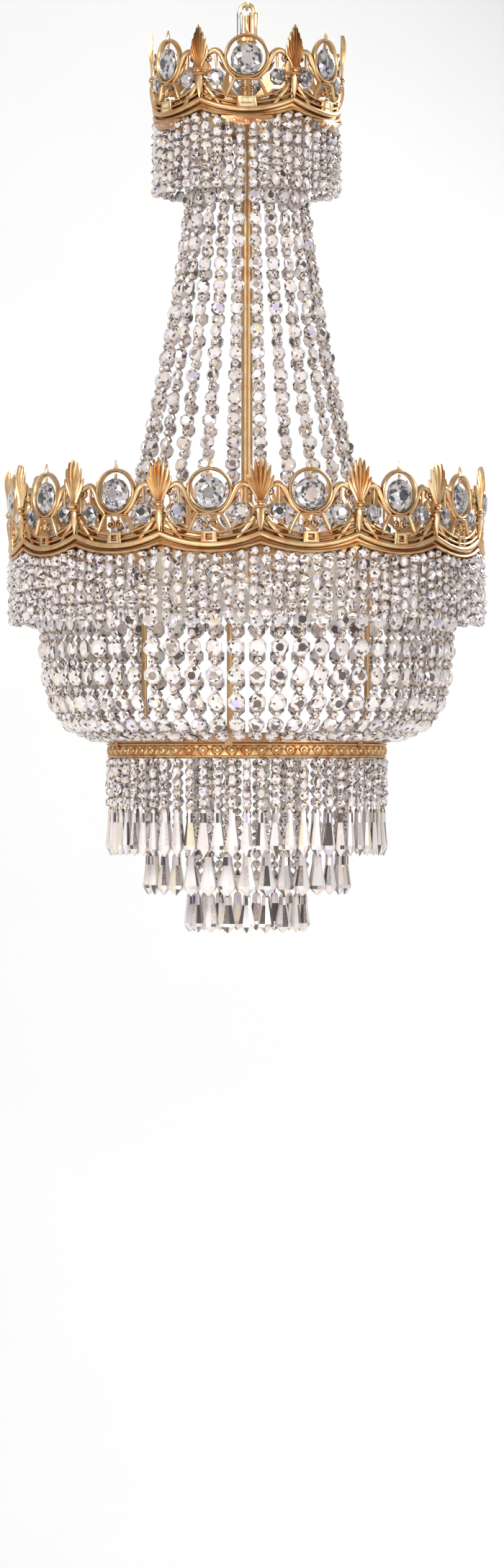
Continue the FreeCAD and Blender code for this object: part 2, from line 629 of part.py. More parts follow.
def make_frames():
    make_upper_frame()
    make_lower_frame()
    half = "sizes.neck_ring_width / 2"
    make_plain_ring("neck_ring", f"sizes.neck_bottom_radius + {half}",
                    f"sizes.neck_bottom_radius - {half}", "sizes.neck_ring_height", "levels.arm_top")
    make_plain_ring("bowl_top_ring", f"sizes.bowl_top_radius + {half}",
                    f"sizes.bowl_top_radius - {half}", "sizes.neck_ring_height", "levels.bowl_top")
    make_plain_ring("bowl_ring", "sizes.bowl_ring_radius", "sizes.bowl_ring_radius - sizes.bowl_ring_wall",
                    "sizes.bowl_ring_height", "levels.bar_top")
    make_plain_ring("tier_one_band", "sizes.tier_one_radius + sizes.tier_wall / 2",
                    "sizes.tier_one_radius - sizes.tier_wall / 2", "sizes.tier_one_height",
                    "levels.tier_one_bottom")
    body = frame_body("tier_spider")
    add_ring(body, "spider_plate", "sizes.arm_plate_radius", None, "sizes.bar_thickness",
             "levels.bar_bottom")
    add_arms(body, "spider_bars", "sizes.arm_plate_radius - 1", "sizes.bowl_ring_radius",
             "sizes.bar_width", "sizes.bar_thickness", "levels.bar_bottom", "sizes.arms",
             "sizes.first_arm_azimuth")
    half = "sizes.tier_ring_width / 2"
    for name, radius in (("tier_two", "sizes.tier_two_radius"), ("tier_three", "sizes.tier_three_radius")):
        add_ring(body, name + "_ring", f"{radius} + {half}", f"{radius} - {half}",
                 "sizes.tier_ring_height", "levels.tier_ring_bottom")


def at_reach(shape, reach, copies, first):
    """Copies of a shape, moved out to a radius, round the axis."""
    moved = shape.copy()
    moved.translate(Vector(0, -reach, 0))
    return around(moved, copies, first)


def make_tie_rods():
    """Rods that carry the tiers from the lower frame's arms."""
    rod = Part.makeCylinder(size.tie_rod_radius, LEVELS["tie_rod_length"], Vector(0, 0, LEVELS["bar_top"]))
    feature("tie_rods", at_reach(rod, size.tie_rod_reach, count("tie_rods"), size.first_arm_azimuth))


# ---------------------------------------------------------------- lamps


def make_lamps():
    """Lamp holders under the arms, bulbs that screw up into them, and the leads along the arms."""
    bottom = LEVELS["holder_bottom"]
    holder = Part.makeCylinder(size.holder_radius, size.holder_height, Vector(0, 0, bottom))
    holder = holder.cut(Part.makeCylinder(size.holder_bore_radius, size.holder_bore_depth * 2,
                                          Vector(0, 0, bottom - size.holder_bore_depth)))
    cap_radius = size.holder_bore_radius - size.lamp_clearance
    cap_top = bottom + size.bulb_cap_length
    waist = size.bulb_length * 0.42
    outline = [Vector(0, 0, cap_top), Vector(cap_radius, 0, cap_top), Vector(cap_radius, 0, bottom)]
    glass = Part.BSplineCurve()
    glass.interpolate([Vector(cap_radius, 0, bottom), Vector(size.bulb_radius, 0, bottom - waist),
                       Vector(0, 0, bottom - size.bulb_length)],
                      Tangents=[Vector(0.55, 0, -1), Vector(0, 0, -1), Vector(-1, 0, 0)],
                      TangentFlags=[True, True, True])
    wire = Part.Wire([Part.makePolygon(outline), glass.toShape(),
                      Part.makeLine(Vector(0, 0, bottom - size.bulb_length), Vector(0, 0, cap_top))])
    bulb = Part.Face(wire).revolve(ORIGIN, UP, 360)
    bulb = bulb if bulb.Volume > 0 else bulb.reversed()
    copies, first = count("arms"), size.first_arm_azimuth
    feature("lamp_holders", at_reach(holder, size.lamp_reach, copies, first))
    feature("bulbs", at_reach(bulb, size.lamp_reach, copies, first))
    height = LEVELS["arm_top"] + size.lead_radius
    inner = size.stem_radius + size.lead_radius + size.string_gap
    bend_start = size.lamp_reach - size.lead_bend
    corner = size.lead_bend * (1 - math.sqrt(0.5))
    run = [Part.LineSegment(Vector(0, -inner, height), Vector(0, -bend_start, height)),
           Part.Arc(Vector(0, -bend_start, height),
                    Vector(0, -size.lamp_reach + corner, height - corner),
                    Vector(0, -size.lamp_reach, height - size.lead_bend)),
           Part.LineSegment(Vector(0, -size.lamp_reach, height - size.lead_bend),
                            Vector(0, -size.lamp_reach, LEVELS["arm_bottom"]))]
    if run[2].length() < 1e-6 or height - size.lead_bend < LEVELS["arm_bottom"]:
        run = run[:2]
    path = Part.Wire([piece.toShape() for piece in run])
    section = Part.Wire(Part.makeCircle(size.lead_radius, Vector(0, -inner, height), Vector(0, 1, 0)))
    lead = solid_of(path.makePipeShell([section], True, False))
    feature("lamp_leads", around(lead, copies, first))


# ---------------------------------------------------------------- crowns


def make_casting(crown):
    """One open-work casting, from cusp to cusp: swag band, top rail, end posts, medallion ring
    with a finial, and a scroll on each side that arches over a hanging crystal."""
    half = crown.casting_width / 2
    middle, radius = size.medallion_height, size.medallion_radius
    spans = 8
    back = -size.casting_back
    section = [(back, BAND_FRONT[0][1]), *BAND_FRONT, (back, BAND_FRONT[-1][1])]
    rows = []
    for i in range(spans + 1):
        along = half * (2 * i / spans - 1)
        rows.append([crown.point(along, crown.swag_height(along) + rise, out) for out, rise in section])
    solids = [faceted(rows)]

    post_along = half - size.post_inset

    def rail_height(along):
        return size.rail_base + size.rail_rise * (abs(along) / post_along) ** size.rail_curve

    steps = [post_along * (2 * i / spans - 1) for i in range(spans + 1)]
    rail = [(along, rail_height(along)) for along in steps]
    solids.append(crown.strip(rail, size.rail_width, -size.rail_inside, size.rail_outside))

    turns = [2 * math.pi * i / (2 * spans) for i in range(2 * spans)]
    hoop = [(radius * math.sin(turn), middle + radius * math.cos(turn)) for turn in turns]
    deep = size.medallion_half_depth
    solids.append(crown.strip(hoop, size.medallion_band, -deep, deep, closed=True))
    crest, rise = middle + radius, size.finial_height
    deep = size.finial_half_depth
    solids.append(crown.strip([(0, crest), (0, crest + rise * 0.4), (0, crest + rise)],
                              [size.leg_width * 2, size.leg_width, deep], -deep, deep))
    wide = size.block_width
    solids.append(crown.strip([(0, -size.block_foot), (0, size.rail_base), (0, middle - radius)],
                              [wide, wide * 0.75, wide / 3], -size.block_inside, size.block_outside))

    scroll = [(radius * along, middle + radius * rise) for along, rise in SCROLL_PATH]
    scroll.append((post_along, middle + radius * SCROLL_END))
    leg = [scroll[0], (size.leg_foot, rail_height(size.leg_foot))]
    post = [(post_along, -size.post_width / 2), (post_along, size.post_height)]
    for side in (lambda path: path, mirrored):
        deep = size.scroll_half_depth
        solids.append(crown.strip(side(scroll), size.scroll_width, -deep, deep))
        deep = size.leg_half_depth
        solids.append(crown.strip(side(leg), size.leg_width, -deep, deep))
        solids.append(crown.strip(side(post), size.post_width, -size.post_half_depth,
                                  size.palmette_back - size.thread_clearance))
    return solid_of(solids[0].multiFuse(solids[1:]))


def make_palmette(crown, wide):
    """Leaf over a collar and a downward spear, ridged in front and flat behind. It covers the
    joint between two castings."""
    tall, back = size.palmette_height, crown.radius + size.palmette_back
    rings = []
    for height_share, width_share in PALMETTE_OUTLINE:
        half, level = wide * width_share, crown.cusp + tall * height_share
        bulge = size.palmette_bulge * width_share
        rings.append([Vector(-half, -back, level), Vector(half, -back, level),
                      Vector(0, -back - bulge, level)])
    return faceted(rings, flat=True)


def round_crystal(crown, along, height, radius, thickness, sides):
    """Cut crystal with a table on both faces, facing out of the crown."""
    centre = crown.point(along, height)
    out = unit(centre.x, centre.y)
    rings = []
    for depth, share in STONE_SECTION:
        ring = []
        for i in range(sides):
            angle = 2 * math.pi * (i + 0.5) / sides
            across, rise = radius * share * math.sin(angle), radius * share * math.cos(angle)
            ring.append(Vector(centre.x - out[1] * across + out[0] * depth * thickness,
                               centre.y + out[0] * across + out[1] * depth * thickness,
                               centre.z + rise))
        rings.append(ring)
    return faceted(rings, flat=True)


def hanging_pin(crown, along, bottom, top):
    """Square wire from a crystal's top to what it hangs from."""
    half = size.crystal_pin / 2
    path = [(along, bottom), (along, top)]
    return crown.strip(path, size.crystal_pin, -half, half)


def medallion_crystal(crown):
    sides = 12
    middle = size.medallion_height - size.crystal_drop
    stone = round_crystal(crown, 0, middle, size.crystal_radius, size.crystal_thickness, sides)
    top = middle + size.crystal_radius * math.cos(math.pi / sides)
    ring_inside = size.medallion_height + size.medallion_radius - size.medallion_band / 2
    return [stone, hanging_pin(crown, 0, top, ring_inside - size.crystal_gap)]


def arch_crystal(crown, along):
    sides = 8
    stone = round_crystal(crown, along, size.arch_crystal_height, size.arch_crystal_radius,
                          size.arch_crystal_thickness, sides)
    top = size.arch_crystal_height + size.arch_crystal_radius * math.cos(math.pi / sides)
    pin = hanging_pin(crown, along, top - size.crystal_pin / 2, size.arch_pin_top)
    return solid_of(stone.fuse(pin))


def make_crown(name, cusp, first, skirt_drop):
    """A crown's castings, palmettes, crystals and the skirt of bead strings under it."""
    radius, units = getattr(size, name + "_radius"), count(name + "_units")
    crown = Crown(radius, cusp, units)
    step = 360 / units
    feature(f"{name}_castings", around(make_casting(crown), units, first))
    palmette = make_palmette(crown, getattr(size, name + "_palmette_half_width"))
    feature(f"{name}_palmettes", around(palmette, units, first + step / 2))
    arches = [arch_crystal(crown, side * size.arch_crystal_offset) for side in (-1, 1)]
    feature(f"{name}_arch_crystals", [copy for one in arches for copy in around(one, units, first)])
    for i in range(units):
        stones = [turned(piece, first + i * step) for piece in medallion_crystal(crown)]
        feature(f"{name}_medallion_crystal_{i + 1:02d}", stones)
    per_unit = count("strings_per_unit")
    strings = []
    for k in range(per_unit):
        along = crown.casting_width * ((k + 0.5) / per_unit - 0.5)
        top = cusp + crown.swag_height(along) + BAND_FRONT[0][1] - size.string_gap
        one = straight_string(radius + size.skirt_out, top, cusp - skirt_drop)
        strings += around(one, units, first + math.degrees(along / radius))
    feature(f"{name}_skirt_strings", strings)


# ---------------------------------------------------------------- bead strings


def string_solid(stations):
    """Bead string at the front: stations of (reach, height, lean, width, thickness), where lean
    is the direction of the bead's thickness in the upright plane through the axis."""
    rings = []
    for reach, height, lean, width, thickness in stations:
        half, out, rise = width / 2, lean[0] * thickness / 2, lean[1] * thickness / 2
        rings.append([Vector(-half, -(reach - out), height - rise), Vector(half, -(reach - out), height - rise),
                      Vector(half, -(reach + out), height + rise), Vector(-half, -(reach + out), height + rise)])
    return faceted(rings, flat=True)


def ridged_string(reach, rows):
    """Straight string of flat-backed beads with a ridge in front, from (height, width) rows. One
    ratio of thickness to width all the way down keeps every facet flat."""
    rings = []
    for height, width in rows:
        half, deep = width / 2, width * size.small_bead_ratio / 2
        rings.append([Vector(-half, deep - reach, height), Vector(half, deep - reach, height),
                      Vector(0, -deep - reach, height)])
    return faceted(rings, flat=True)


def beads_between(top, bottom, pitch):
    """Rows of small diamond beads, nose to nose, down a straight string."""
    beads = max(1, round((top - bottom) / pitch))
    step = (top - bottom) / beads
    rows = [(top, size.string_pin)]
    for i in range(beads):
        rows += [(top - step * (i + 0.5), size.small_bead), (top - step * (i + 1), size.string_pin)]
    return rows


def straight_string(reach, top, bottom):
    return ridged_string(reach, beads_between(top, bottom, size.small_bead_pitch))


def tier_string(reach, top, bead_run, drop, drop_width, kite=0.0):
    """Small beads, an optional kite-shaped bead and a long drop on one string. The drop has a slim
    shoulder, is widest three quarters down and ends in a point."""
    rows = beads_between(top, top - bead_run, size.small_bead_pitch)
    low = top - bead_run
    if kite:
        rows += [(low - kite * KITE_WIDEST, size.kite_bead_width), (low - kite, size.string_pin)]
        low -= kite
    for down, across in DROP_OUTLINE:
        rows.append((low - drop * down, drop_width * across))
    return ridged_string(reach, rows)


def make_tiers():
    one = tier_string(size.tier_one_radius, LEVELS["tier_one_bottom"], size.tier_one_bead_run,
                      size.tier_one_drop, size.tier_one_drop_width)
    two = tier_string(size.tier_two_radius, LEVELS["tier_ring_bottom"], size.tier_two_bead_run,
                      size.tier_two_drop, size.tier_two_drop_width)
    three = tier_string(size.tier_three_radius, LEVELS["tier_ring_bottom"], size.tier_three_bead_run,
                        size.tier_three_drop, size.tier_three_drop_width, size.kite_bead)
    feature("tier_one_strings", around(one, count("tier_one_count")))
    feature("tier_two_strings", around(two, count("tier_two_count")))
    feature("tier_three_strings", around(three, count("tier_three_count")))


def path_points(curve, samples=400):
    """Points down a curve of (reach, height), each with the length run so far."""
    points = [curve(i / samples) for i in range(samples + 1)]
    run, lengths = 0.0, [0.0]
    for before, here in zip(points, points[1:]):
        run += math.dist(before, here)
        lengths.append(run)
    return points, lengths


def point_at(points, lengths, distance):
    distance = min(max(distance, 0.0), lengths[-1])
    for i in range(1, len(lengths)):
        if lengths[i] >= distance:
            share = (distance - lengths[i - 1]) / (lengths[i] - lengths[i - 1])
            a, b = points[i - 1], points[i]
            return (a[0] + (b[0] - a[0]) * share, a[1] + (b[1] - a[1]) * share)
    return points[-1]


def curved_string(curve, pitch, bead_length, bead_width, bead_thickness, strings, level=False):
    """String of octagon beads joined by pins along a curve; bead_width takes the share of the
    run and is held back where neighbouring strings crowd it. The beads of a level string lean
    with the curve but keep their faces upright."""
    points, lengths = path_points(curve)
    total, pin = lengths[-1], size.string_pin
    beads = max(1, round(total / pitch))
    step = total / beads
    rows = []
    for i in range(beads):
        start = point_at(points, lengths, step * i + (step - bead_length) / 2)
        end = point_at(points, lengths, step * i + (step + bead_length) / 2)
        run = unit(end[0] - start[0], end[1] - start[1])
        lean = (1, 0) if level else (-run[1], run[0])
        crowd = 2 * math.pi * min(start[0], end[0]) / strings * size.bead_crowding
        width = min(bead_width((i + 0.5) / beads), crowd)
        thickness = bead_thickness * width / bead_width(0.5)
        if i == 0:
            rows.append((*points[0], lean, pin, pin))
        sections = [(0.29, width, thickness), (0.71, width, thickness)]
        if not level:
            sections = [(0, pin, pin)] + sections + [(1, pin, pin)]
        for share, across, deep in sections:
            place = (start[0] + (end[0] - start[0]) * share, start[1] + (end[1] - start[1]) * share)
            rows.append((*place, lean, across, deep))
        if level and i < beads - 1:
            rows.append((*point_at(points, lengths, step * (i + 1)), lean, pin, pin))
    rows.append((*points[-1], rows[-1][2], pin, pin))
    return string_solid(rows)


def neck_curve(share):
    """The neck's strings flare outwards on the way down."""
    top, bottom = LEVELS["neck_top"], LEVELS["neck_bottom"]
    widening = size.neck_bottom_radius - size.neck_top_radius
    return (size.neck_top_radius + widening * share ** size.neck_flare, top + (bottom - top) * share)


def bowl_curve(share):
    """The bowl's strings fall nearly straight and turn in sharply to the ring at the bottom.
    The share is eased so that the steep turn has points of its own."""
    down = math.sin(share * math.pi / 2)
    side = size.bowl_top_radius - size.bowl_taper * down - size.bowl_ring_radius
    return (size.bowl_ring_radius + side * math.sqrt(max(0.0, 1 - down ** size.bowl_corner)),
            LEVELS["bowl_top"] - size.bowl_depth * down)


def make_curved_strings():
    widening = size.neck_bottom_bead - size.neck_top_bead
    neck = curved_string(neck_curve, size.neck_bead_pitch, size.neck_bead_length,
                         lambda share: size.neck_top_bead + widening * share,
                         size.neck_bead_thickness, size.neck_strings, level=True)
    feature("neck_strings", around(neck, count("neck_strings")))
    bowl = curved_string(bowl_curve, size.bowl_bead_pitch, size.bowl_bead_length,
                         lambda share: size.bowl_bead, size.bowl_bead_thickness, size.bowl_strings)
    feature("bowl_strings", around(bowl, count("bowl_strings"), 180 / count("bowl_strings")))


# ---------------------------------------------------------------- build, check and write


make_crossbar()
make_canopy()
make_nipple_parts()
make_terminal_block()
make_link("chain_link_upper", "levels.upper_link_top", "Y")
make_link("chain_link_lower", "levels.lower_link_top", "X")
make_yoke()
make_stem()
make_frames()
make_tie_rods()
make_lamps()
make_crown("upper", LEVELS["upper_cusp"], size.upper_first_azimuth, size.upper_skirt_drop)
make_crown("lower", LEVELS["lower_cusp"], size.lower_first_azimuth, size.lower_skirt_drop)
make_curved_strings()
make_tiers()
DOC.recompute()

failed = [obj.Label for obj in DOC.Objects if {"Invalid", "Error"} & set(obj.State)]
for piece in PARTS:
    if piece.Shape.isNull() or not piece.Shape.isValid() or not piece.Shape.Solids:
        failed.append(piece.Label)
if failed:
    raise SystemExit("not written, failed: " + ", ".join(failed))

os.makedirs("parts", exist_ok=True)
for piece in PARTS:
    piece.Shape.exportStep(f"parts/{piece.Label}.step")
print(len(PARTS), "sub-parts,", sum(len(piece.Shape.Solids) for piece in PARTS), "solids,",
      sum(len(piece.Shape.Faces) for piece in PARTS), "faces")
for name in ("eye_bar", "upper_link_bar", "lower_link_bar", "upper_cusp", "lower_cusp", "arm_top",
             "bowl_top", "bar_top", "tier_one_bottom"):
    print(f"{name} {LEVELS[name]:.3f}")
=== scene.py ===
"""Crystal chandelier: cut beads, drops and gilt castings dressed over its construction.

Shapes are worked out in millimetres in the frame's axes, +Z up, with the front towards -Y and the
stem on the Z axis. Azimuth 0 is the front, and azimuths grow towards +X.
"""
import json
import math
import random

import bpy
import numpy as np
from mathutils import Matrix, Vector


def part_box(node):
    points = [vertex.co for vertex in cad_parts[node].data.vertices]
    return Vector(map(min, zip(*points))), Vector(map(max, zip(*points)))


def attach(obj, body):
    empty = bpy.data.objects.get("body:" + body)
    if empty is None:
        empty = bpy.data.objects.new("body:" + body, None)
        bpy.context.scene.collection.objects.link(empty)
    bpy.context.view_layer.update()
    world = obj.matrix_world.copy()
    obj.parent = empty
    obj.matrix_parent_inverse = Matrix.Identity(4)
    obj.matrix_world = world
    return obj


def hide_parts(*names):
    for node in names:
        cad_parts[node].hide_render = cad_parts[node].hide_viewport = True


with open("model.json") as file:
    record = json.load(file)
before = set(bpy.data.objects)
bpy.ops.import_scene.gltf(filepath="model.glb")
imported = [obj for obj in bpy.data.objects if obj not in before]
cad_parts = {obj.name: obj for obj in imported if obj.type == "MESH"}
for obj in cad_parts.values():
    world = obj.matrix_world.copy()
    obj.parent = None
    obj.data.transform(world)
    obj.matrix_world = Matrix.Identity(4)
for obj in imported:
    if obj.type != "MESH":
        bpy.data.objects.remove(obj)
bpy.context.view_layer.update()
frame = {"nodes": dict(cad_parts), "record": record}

MM = 0.001
BODY = "chandelier"
CUT = "cut"
chance = random.Random(7)
tones = np.random.default_rng(11)

# ---------------------------------------------------------------- sizes

# Crowns: radius of the castings, how many there are, and the azimuth of the first.
UPPER_RADIUS, LOWER_RADIUS = 96.5, 250.0
UPPER_UNITS, LOWER_UNITS = 6, 15
UPPER_FIRST, LOWER_FIRST = 0.0, -8.8
PALMETTE_HEIGHT = 80.0
# Distance of a casting's end post from its edge.
POST_INSET = 1.6

# Rails of a casting's swag: height at the middle and at a cusp, width, how far it stands proud.
SWAG_RAILS = [(-16.6, -7.4, 4.0, 4.2), (-9.8, 1.8, 7.2, 4.8), (-3.6, 9.4, 3.2, 3.6),
              (1.6, 19.5, 3.0, 3.0)]
MEDALLION_HEIGHT, MEDALLION_RADIUS, MEDALLION_WALL = 46.0, 22.5, 3.0
STONE_RADIUS, STONE_THICKNESS, STONE_DROP = 17.0, 13.0, 3.0
ARCH_STONE_RADIUS, ARCH_STONE_THICKNESS = 9.4, 8.5
ARCH_STONE_HEIGHT, ARCH_STONE_OFFSET, ARCH_HOOK_TOP = 24.5, 33.0, 50.0

# Skirts: strings to a casting, gap under its lowest rail, and how uneven their ends are.
STRINGS_PER_UNIT, SKIRT_BEAD_WIDTH, SKIRT_GAP = 8, 12.6, 1.6
UNEVEN_END = (-2, 3)

# Small beads: usual pitch and width, how each may differ, the gap at a nose, the widest turn in
# degrees.
SMALL_PITCH, SMALL_WIDTH, SMALL_THICKNESS = 10.6, 10.6, 8.0
LENGTH_SPREAD, WIDTH_SPREAD, OUT_OF_LINE = (0.62, 1.38), (0.8, 1.1), 0.9
NOSE_GAP = 0.3
ANY_TURN = 80

# Neck and bowl: strings, pitch of the octagon beads and their size, and the shape of the curve.
NECK_STRINGS, NECK_PITCH, NECK_BEAD_LENGTH, NECK_BEAD_THICKNESS = 24, 24.3, 16.5, 9.0
NECK_TOP_RADIUS, NECK_FLARE = 57.5, 1.53
BOWL_STRINGS, BOWL_PITCH, BOWL_BEAD_LENGTH, BOWL_BEAD_THICKNESS = 60, 29.0, 20.0, 9.0
BOWL_TAPER, BOWL_CORNER = 12.0, 8

# Tiers: name, radius, strings, run of small beads, length and width of a drop, length of a kite.
TIERS = [("tier_one", 146.5, 60, 53, 51, 14.2, 0), ("tier_two", 105.5, 32, 108, 45.5, 19.4, 0),
         ("tier_three", 62.0, 19, 127.5, 42, 18.6, 24)]
KITE_WIDTH = 16


def box_mm(node):
    """Lowest and highest corner of a node, in millimetres."""
    low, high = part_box(node)
    return np.array(low) / MM, np.array(high) / MM


# ---------------------------------------------------------------- shader maths


class Wire:
    """One output of a node. Arithmetic on it adds Math nodes."""

    def __init__(self, finish, socket):
        self.finish = finish
        self.socket = socket

    def maths(self, operation, first, second):
        """Math node over two values or wires."""
        return self.finish.node("Math", {"operation": operation}, {0: first, 1: second})

    def __add__(self, other):
        return self.maths("ADD", self, other)

    def __sub__(self, other):
        return self.maths("SUBTRACT", self, other)

    def __mul__(self, other):
        return self.maths("MULTIPLY", self, other)


class Finish:
    """A material under construction."""

    def __init__(self, name):
        self.material = bpy.data.materials.new(name)
        self.material.use_nodes = True
        self.tree = self.material.node_tree
        self.tree.nodes.clear()

    def node(self, kind, settings=None, inputs=None, output=0):
        """A node with its settings made first, then its sockets; returns one of its outputs."""
        made = self.tree.nodes.new("ShaderNode" + kind)
        for name, value in (settings or {}).items():
            if name == "stops":
                self.set_stops(made.color_ramp, value)
            else:
                setattr(made, name, value)
        for name, value in (inputs or {}).items():
            if isinstance(value, Wire):
                self.tree.links.new(value.socket, made.inputs[name])
            else:
                made.inputs[name].default_value = value
        return Wire(self, made.outputs[output]) if made.outputs else None

    def set_stops(self, ramp, stops):
        """Give a colour ramp its stops."""
        while len(ramp.elements) < len(stops):
            ramp.elements.new(0.5)
        for element, (place, colour) in zip(ramp.elements, stops):
            element.position = place
            element.color = colour

    def place(self):
        """The point on the object, in metres."""
        return self.node("TexCoord", output="Object")

    def noise(self, scale, detail=3.0, roughness=0.55):
        """Soft random value; the scale is in lumps per metre."""
        return self.node("TexNoise", {}, {"Vector": self.place(), "Scale": scale, "Detail": detail,
                                          "Roughness": roughness})

    def shelter(self, reach):
        """How open a point is to its surroundings within a reach, from 0 to 1; the finishes paint
        shade with it.
        """
        return self.node("AmbientOcclusion", {"samples": 6}, {"Distance": reach}, "AO")

    def ramp(self, value, *stops):
        """A colour ramp over a value; each stop is its place and its colour."""
        stops = [(place, (*colour, 1.0)) for place, colour in stops]
        return self.node("ValToRGB", {"stops": stops}, {"Fac": value})

    def mix(self, share, first, second, blend="MIX"):
        """Two colours mixed by a share."""
        pair = [colour if isinstance(colour, Wire) else (*colour, 1.0) for colour in (first, second)]
        return self.node("Mix", {"data_type": "RGBA", "blend_type": blend},
                         {0: share, 6: pair[0], 7: pair[1]}, output=2)

    def bump(self, height, strength, distance):
        """Surface relief; the distance is in metres."""
        return self.node("Bump", {}, {"Height": height, "Strength": strength, "Distance": distance})

    def done(self, **inputs):
        """Close the material with its surface; double underscores stand for spaces."""
        sockets = {name.replace("__", " "): value for name, value in inputs.items()}
        surface = self.node("BsdfPrincipled", {}, sockets)
        self.node("OutputMaterial", {}, {"Surface": surface})
        return self.material


NO_CHANGE = (1, 1, 1)
# Reach, in metres, of the painted shade in hollows and crevices.
CREVICE_REACH = 0.006


def gilt(name, light, middle, deep, roughness=0.34):
    """Lacquered cast brass: patches of warmer tone and a faint casting grain, with painted shade,
    brown in the hollows and deeper and redder on its rounded edges, and a little painted light where
    its surface curves in."""
    finish = Finish(name)
    patches = finish.noise(70, 4.0)
    tone = finish.ramp(patches, (0.34, deep), (0.47, middle), (0.6, light))
    # Painted light and shade by how the surface curves: a little lighter where it curves in, darker
    # and redder on rounded edges.
    edges = finish.node("NewGeometry", output="Pointiness")
    painted_edge_shading = finish.ramp(edges, (0.44, (1.15, 1.15, 1.1)), (0.5, NO_CHANGE), (0.56, (0.62, 0.48, 0.34)))
    # Painted shade: brown to near black in the hollows, where little of the surroundings reaches.
    painted_hollow_shade = finish.ramp(finish.shelter(CREVICE_REACH), (0.2, (0.16, 0.08, 0.03)),
                         (0.5, (0.78, 0.6, 0.42)), (0.72, NO_CHANGE))
    colour = finish.mix(1.0, finish.mix(1.0, tone, painted_edge_shading, "MULTIPLY"), painted_hollow_shade, "MULTIPLY")
    grain = finish.noise(900, 2.0)
    return finish.done(Base__Color=colour, Metallic=0.8, Roughness=patches * 0.2 + (roughness - 0.1),
                       Normal=finish.bump(grain, 0.2, 0.0004))


def crystal(name, face_colours_and_painted_reflections, clearness):
    """Lead crystal: every cut face has its own colour, its dark and grey ones painted reflections of
    dark surroundings, and painted shade darkens the crevices between the beads.
    """
    finish = Finish(name)
    cut = finish.node("Attribute", {"attribute_name": CUT}, output="Fac")
    flaws = finish.noise(420, 2.0)
    # Each cut face takes a colour from the list; its dark and grey ones are painted reflections of
    # dark surroundings.
    face_colour_and_painted_reflection = finish.ramp(cut + flaws * 0.16 - 0.08, *face_colours_and_painted_reflections)
    # Painted shade: near black in the crevices between the beads, where little of the surroundings
    # reaches.
    painted_crevice_shade = finish.ramp(finish.shelter(CREVICE_REACH), (0.15, (0.07, 0.05, 0.04)),
                          (0.5, (0.66, 0.55, 0.5)), (0.75, NO_CHANGE))
    colour = finish.mix(1.0, face_colour_and_painted_reflection, painted_crevice_shade, "MULTIPLY")
    return finish.done(Base__Color=colour, Roughness=flaws * 0.12, IOR=1.62,
                       Transmission__Weight=clearness, Coat__Weight=0.6, Coat__Roughness=0.01,
                       Normal=finish.bump(flaws, 0.12, 0.0008))


def plain_metal(name, colour, roughness, grain_scale):
    """Turned or rolled metal with a fine grain."""
    finish = Finish(name)
    grain = finish.noise(grain_scale, 2.0)
    tone = finish.mix(grain, [c * 0.78 for c in colour], colour)
    return finish.done(Base__Color=tone, Metallic=1.0, Roughness=grain * 0.16 + (roughness - 0.08),
                       Normal=finish.bump(grain, 0.12, 0.0003))


def soft_plastic(name, colour, roughness):
    """Moulded plastic with a faint mottled skin."""
    finish = Finish(name)
    mottle = finish.noise(320, 3.0)
    tone = finish.mix(mottle, [c * 0.88 for c in colour], colour)
    return finish.done(Base__Color=tone, Roughness=mottle * 0.15 + (roughness - 0.07),
                       Normal=finish.bump(mottle, 0.1, 0.0003))


def frosted_lamp(name):
    """Lamp glass with a finely etched white skin."""
    finish = Finish(name)
    etch = finish.noise(1200, 1.0)
    tone = finish.mix(etch, (0.86, 0.84, 0.78), (0.97, 0.95, 0.9))
    return finish.done(Base__Color=tone, Roughness=etch * 0.1 + 0.35, Transmission__Weight=0.35)


GILT = gilt("gilt_brass", light=(1.0, 0.88, 0.63), middle=(1.0, 0.78, 0.5), deep=(0.93, 0.6, 0.34))
ROSE = gilt("rose_brass", light=(1.0, 0.78, 0.58), middle=(1.0, 0.62, 0.38), deep=(0.8, 0.42, 0.22))

# Colours of cut faces, from dark through warm white to the few amber and violet ones. The dark and
# grey faces are painted reflections of dark surroundings.
CLEAR_FACES_AND_PAINTED_REFLECTIONS = [(0.12, (0.1, 0.08, 0.07)), (0.22, (0.5, 0.4, 0.36)), (0.3, (0.95, 0.84, 0.79)),
               (0.6, (1.0, 0.93, 0.9)), (0.8, (1.0, 0.98, 0.99)), (0.87, (0.98, 0.8, 0.7)),
               (0.93, (0.95, 0.86, 0.55)), (0.97, (0.66, 0.6, 0.92))]
# A stone's faces: more of them dark and grey, painted reflections of dark surroundings, then white
# with a few amber and violet ones.
STONE_FACES_AND_PAINTED_REFLECTIONS = [(0.16, (0.05, 0.05, 0.05)), (0.34, (0.3, 0.28, 0.27)), (0.5, (0.62, 0.6, 0.58)),
               (0.66, (0.86, 0.84, 0.84)), (0.8, NO_CHANGE), (0.88, (0.8, 0.62, 0.42)),
               (0.94, (0.66, 0.6, 0.86))]
CRYSTAL = crystal("crystal", CLEAR_FACES_AND_PAINTED_REFLECTIONS, 0.36)
STONE_CRYSTAL = crystal("stone_crystal", STONE_FACES_AND_PAINTED_REFLECTIONS, 0.6)
PLATED_STEEL = plain_metal("plated_steel", (0.62, 0.62, 0.6), 0.32, 700)
WHITE_PLASTIC = soft_plastic("white_plastic", (0.86, 0.86, 0.84), 0.5)
CREAM_PLASTIC = soft_plastic("cream_plastic", (0.84, 0.78, 0.64), 0.5)
LEAD_SKIN = soft_plastic("clear_lead", (0.72, 0.66, 0.54), 0.35)
LAMP_GLASS = frosted_lamp("frosted_glass")

# ---------------------------------------------------------------- forms


def turned(points, azimuth):
    """Points turned round the stem by degrees of azimuth."""
    angle = math.radians(azimuth)
    sine, cosine = math.sin(angle), math.cos(angle)
    return points @ np.array([[cosine, sine, 0], [-sine, cosine, 0], [0, 0, 1]])


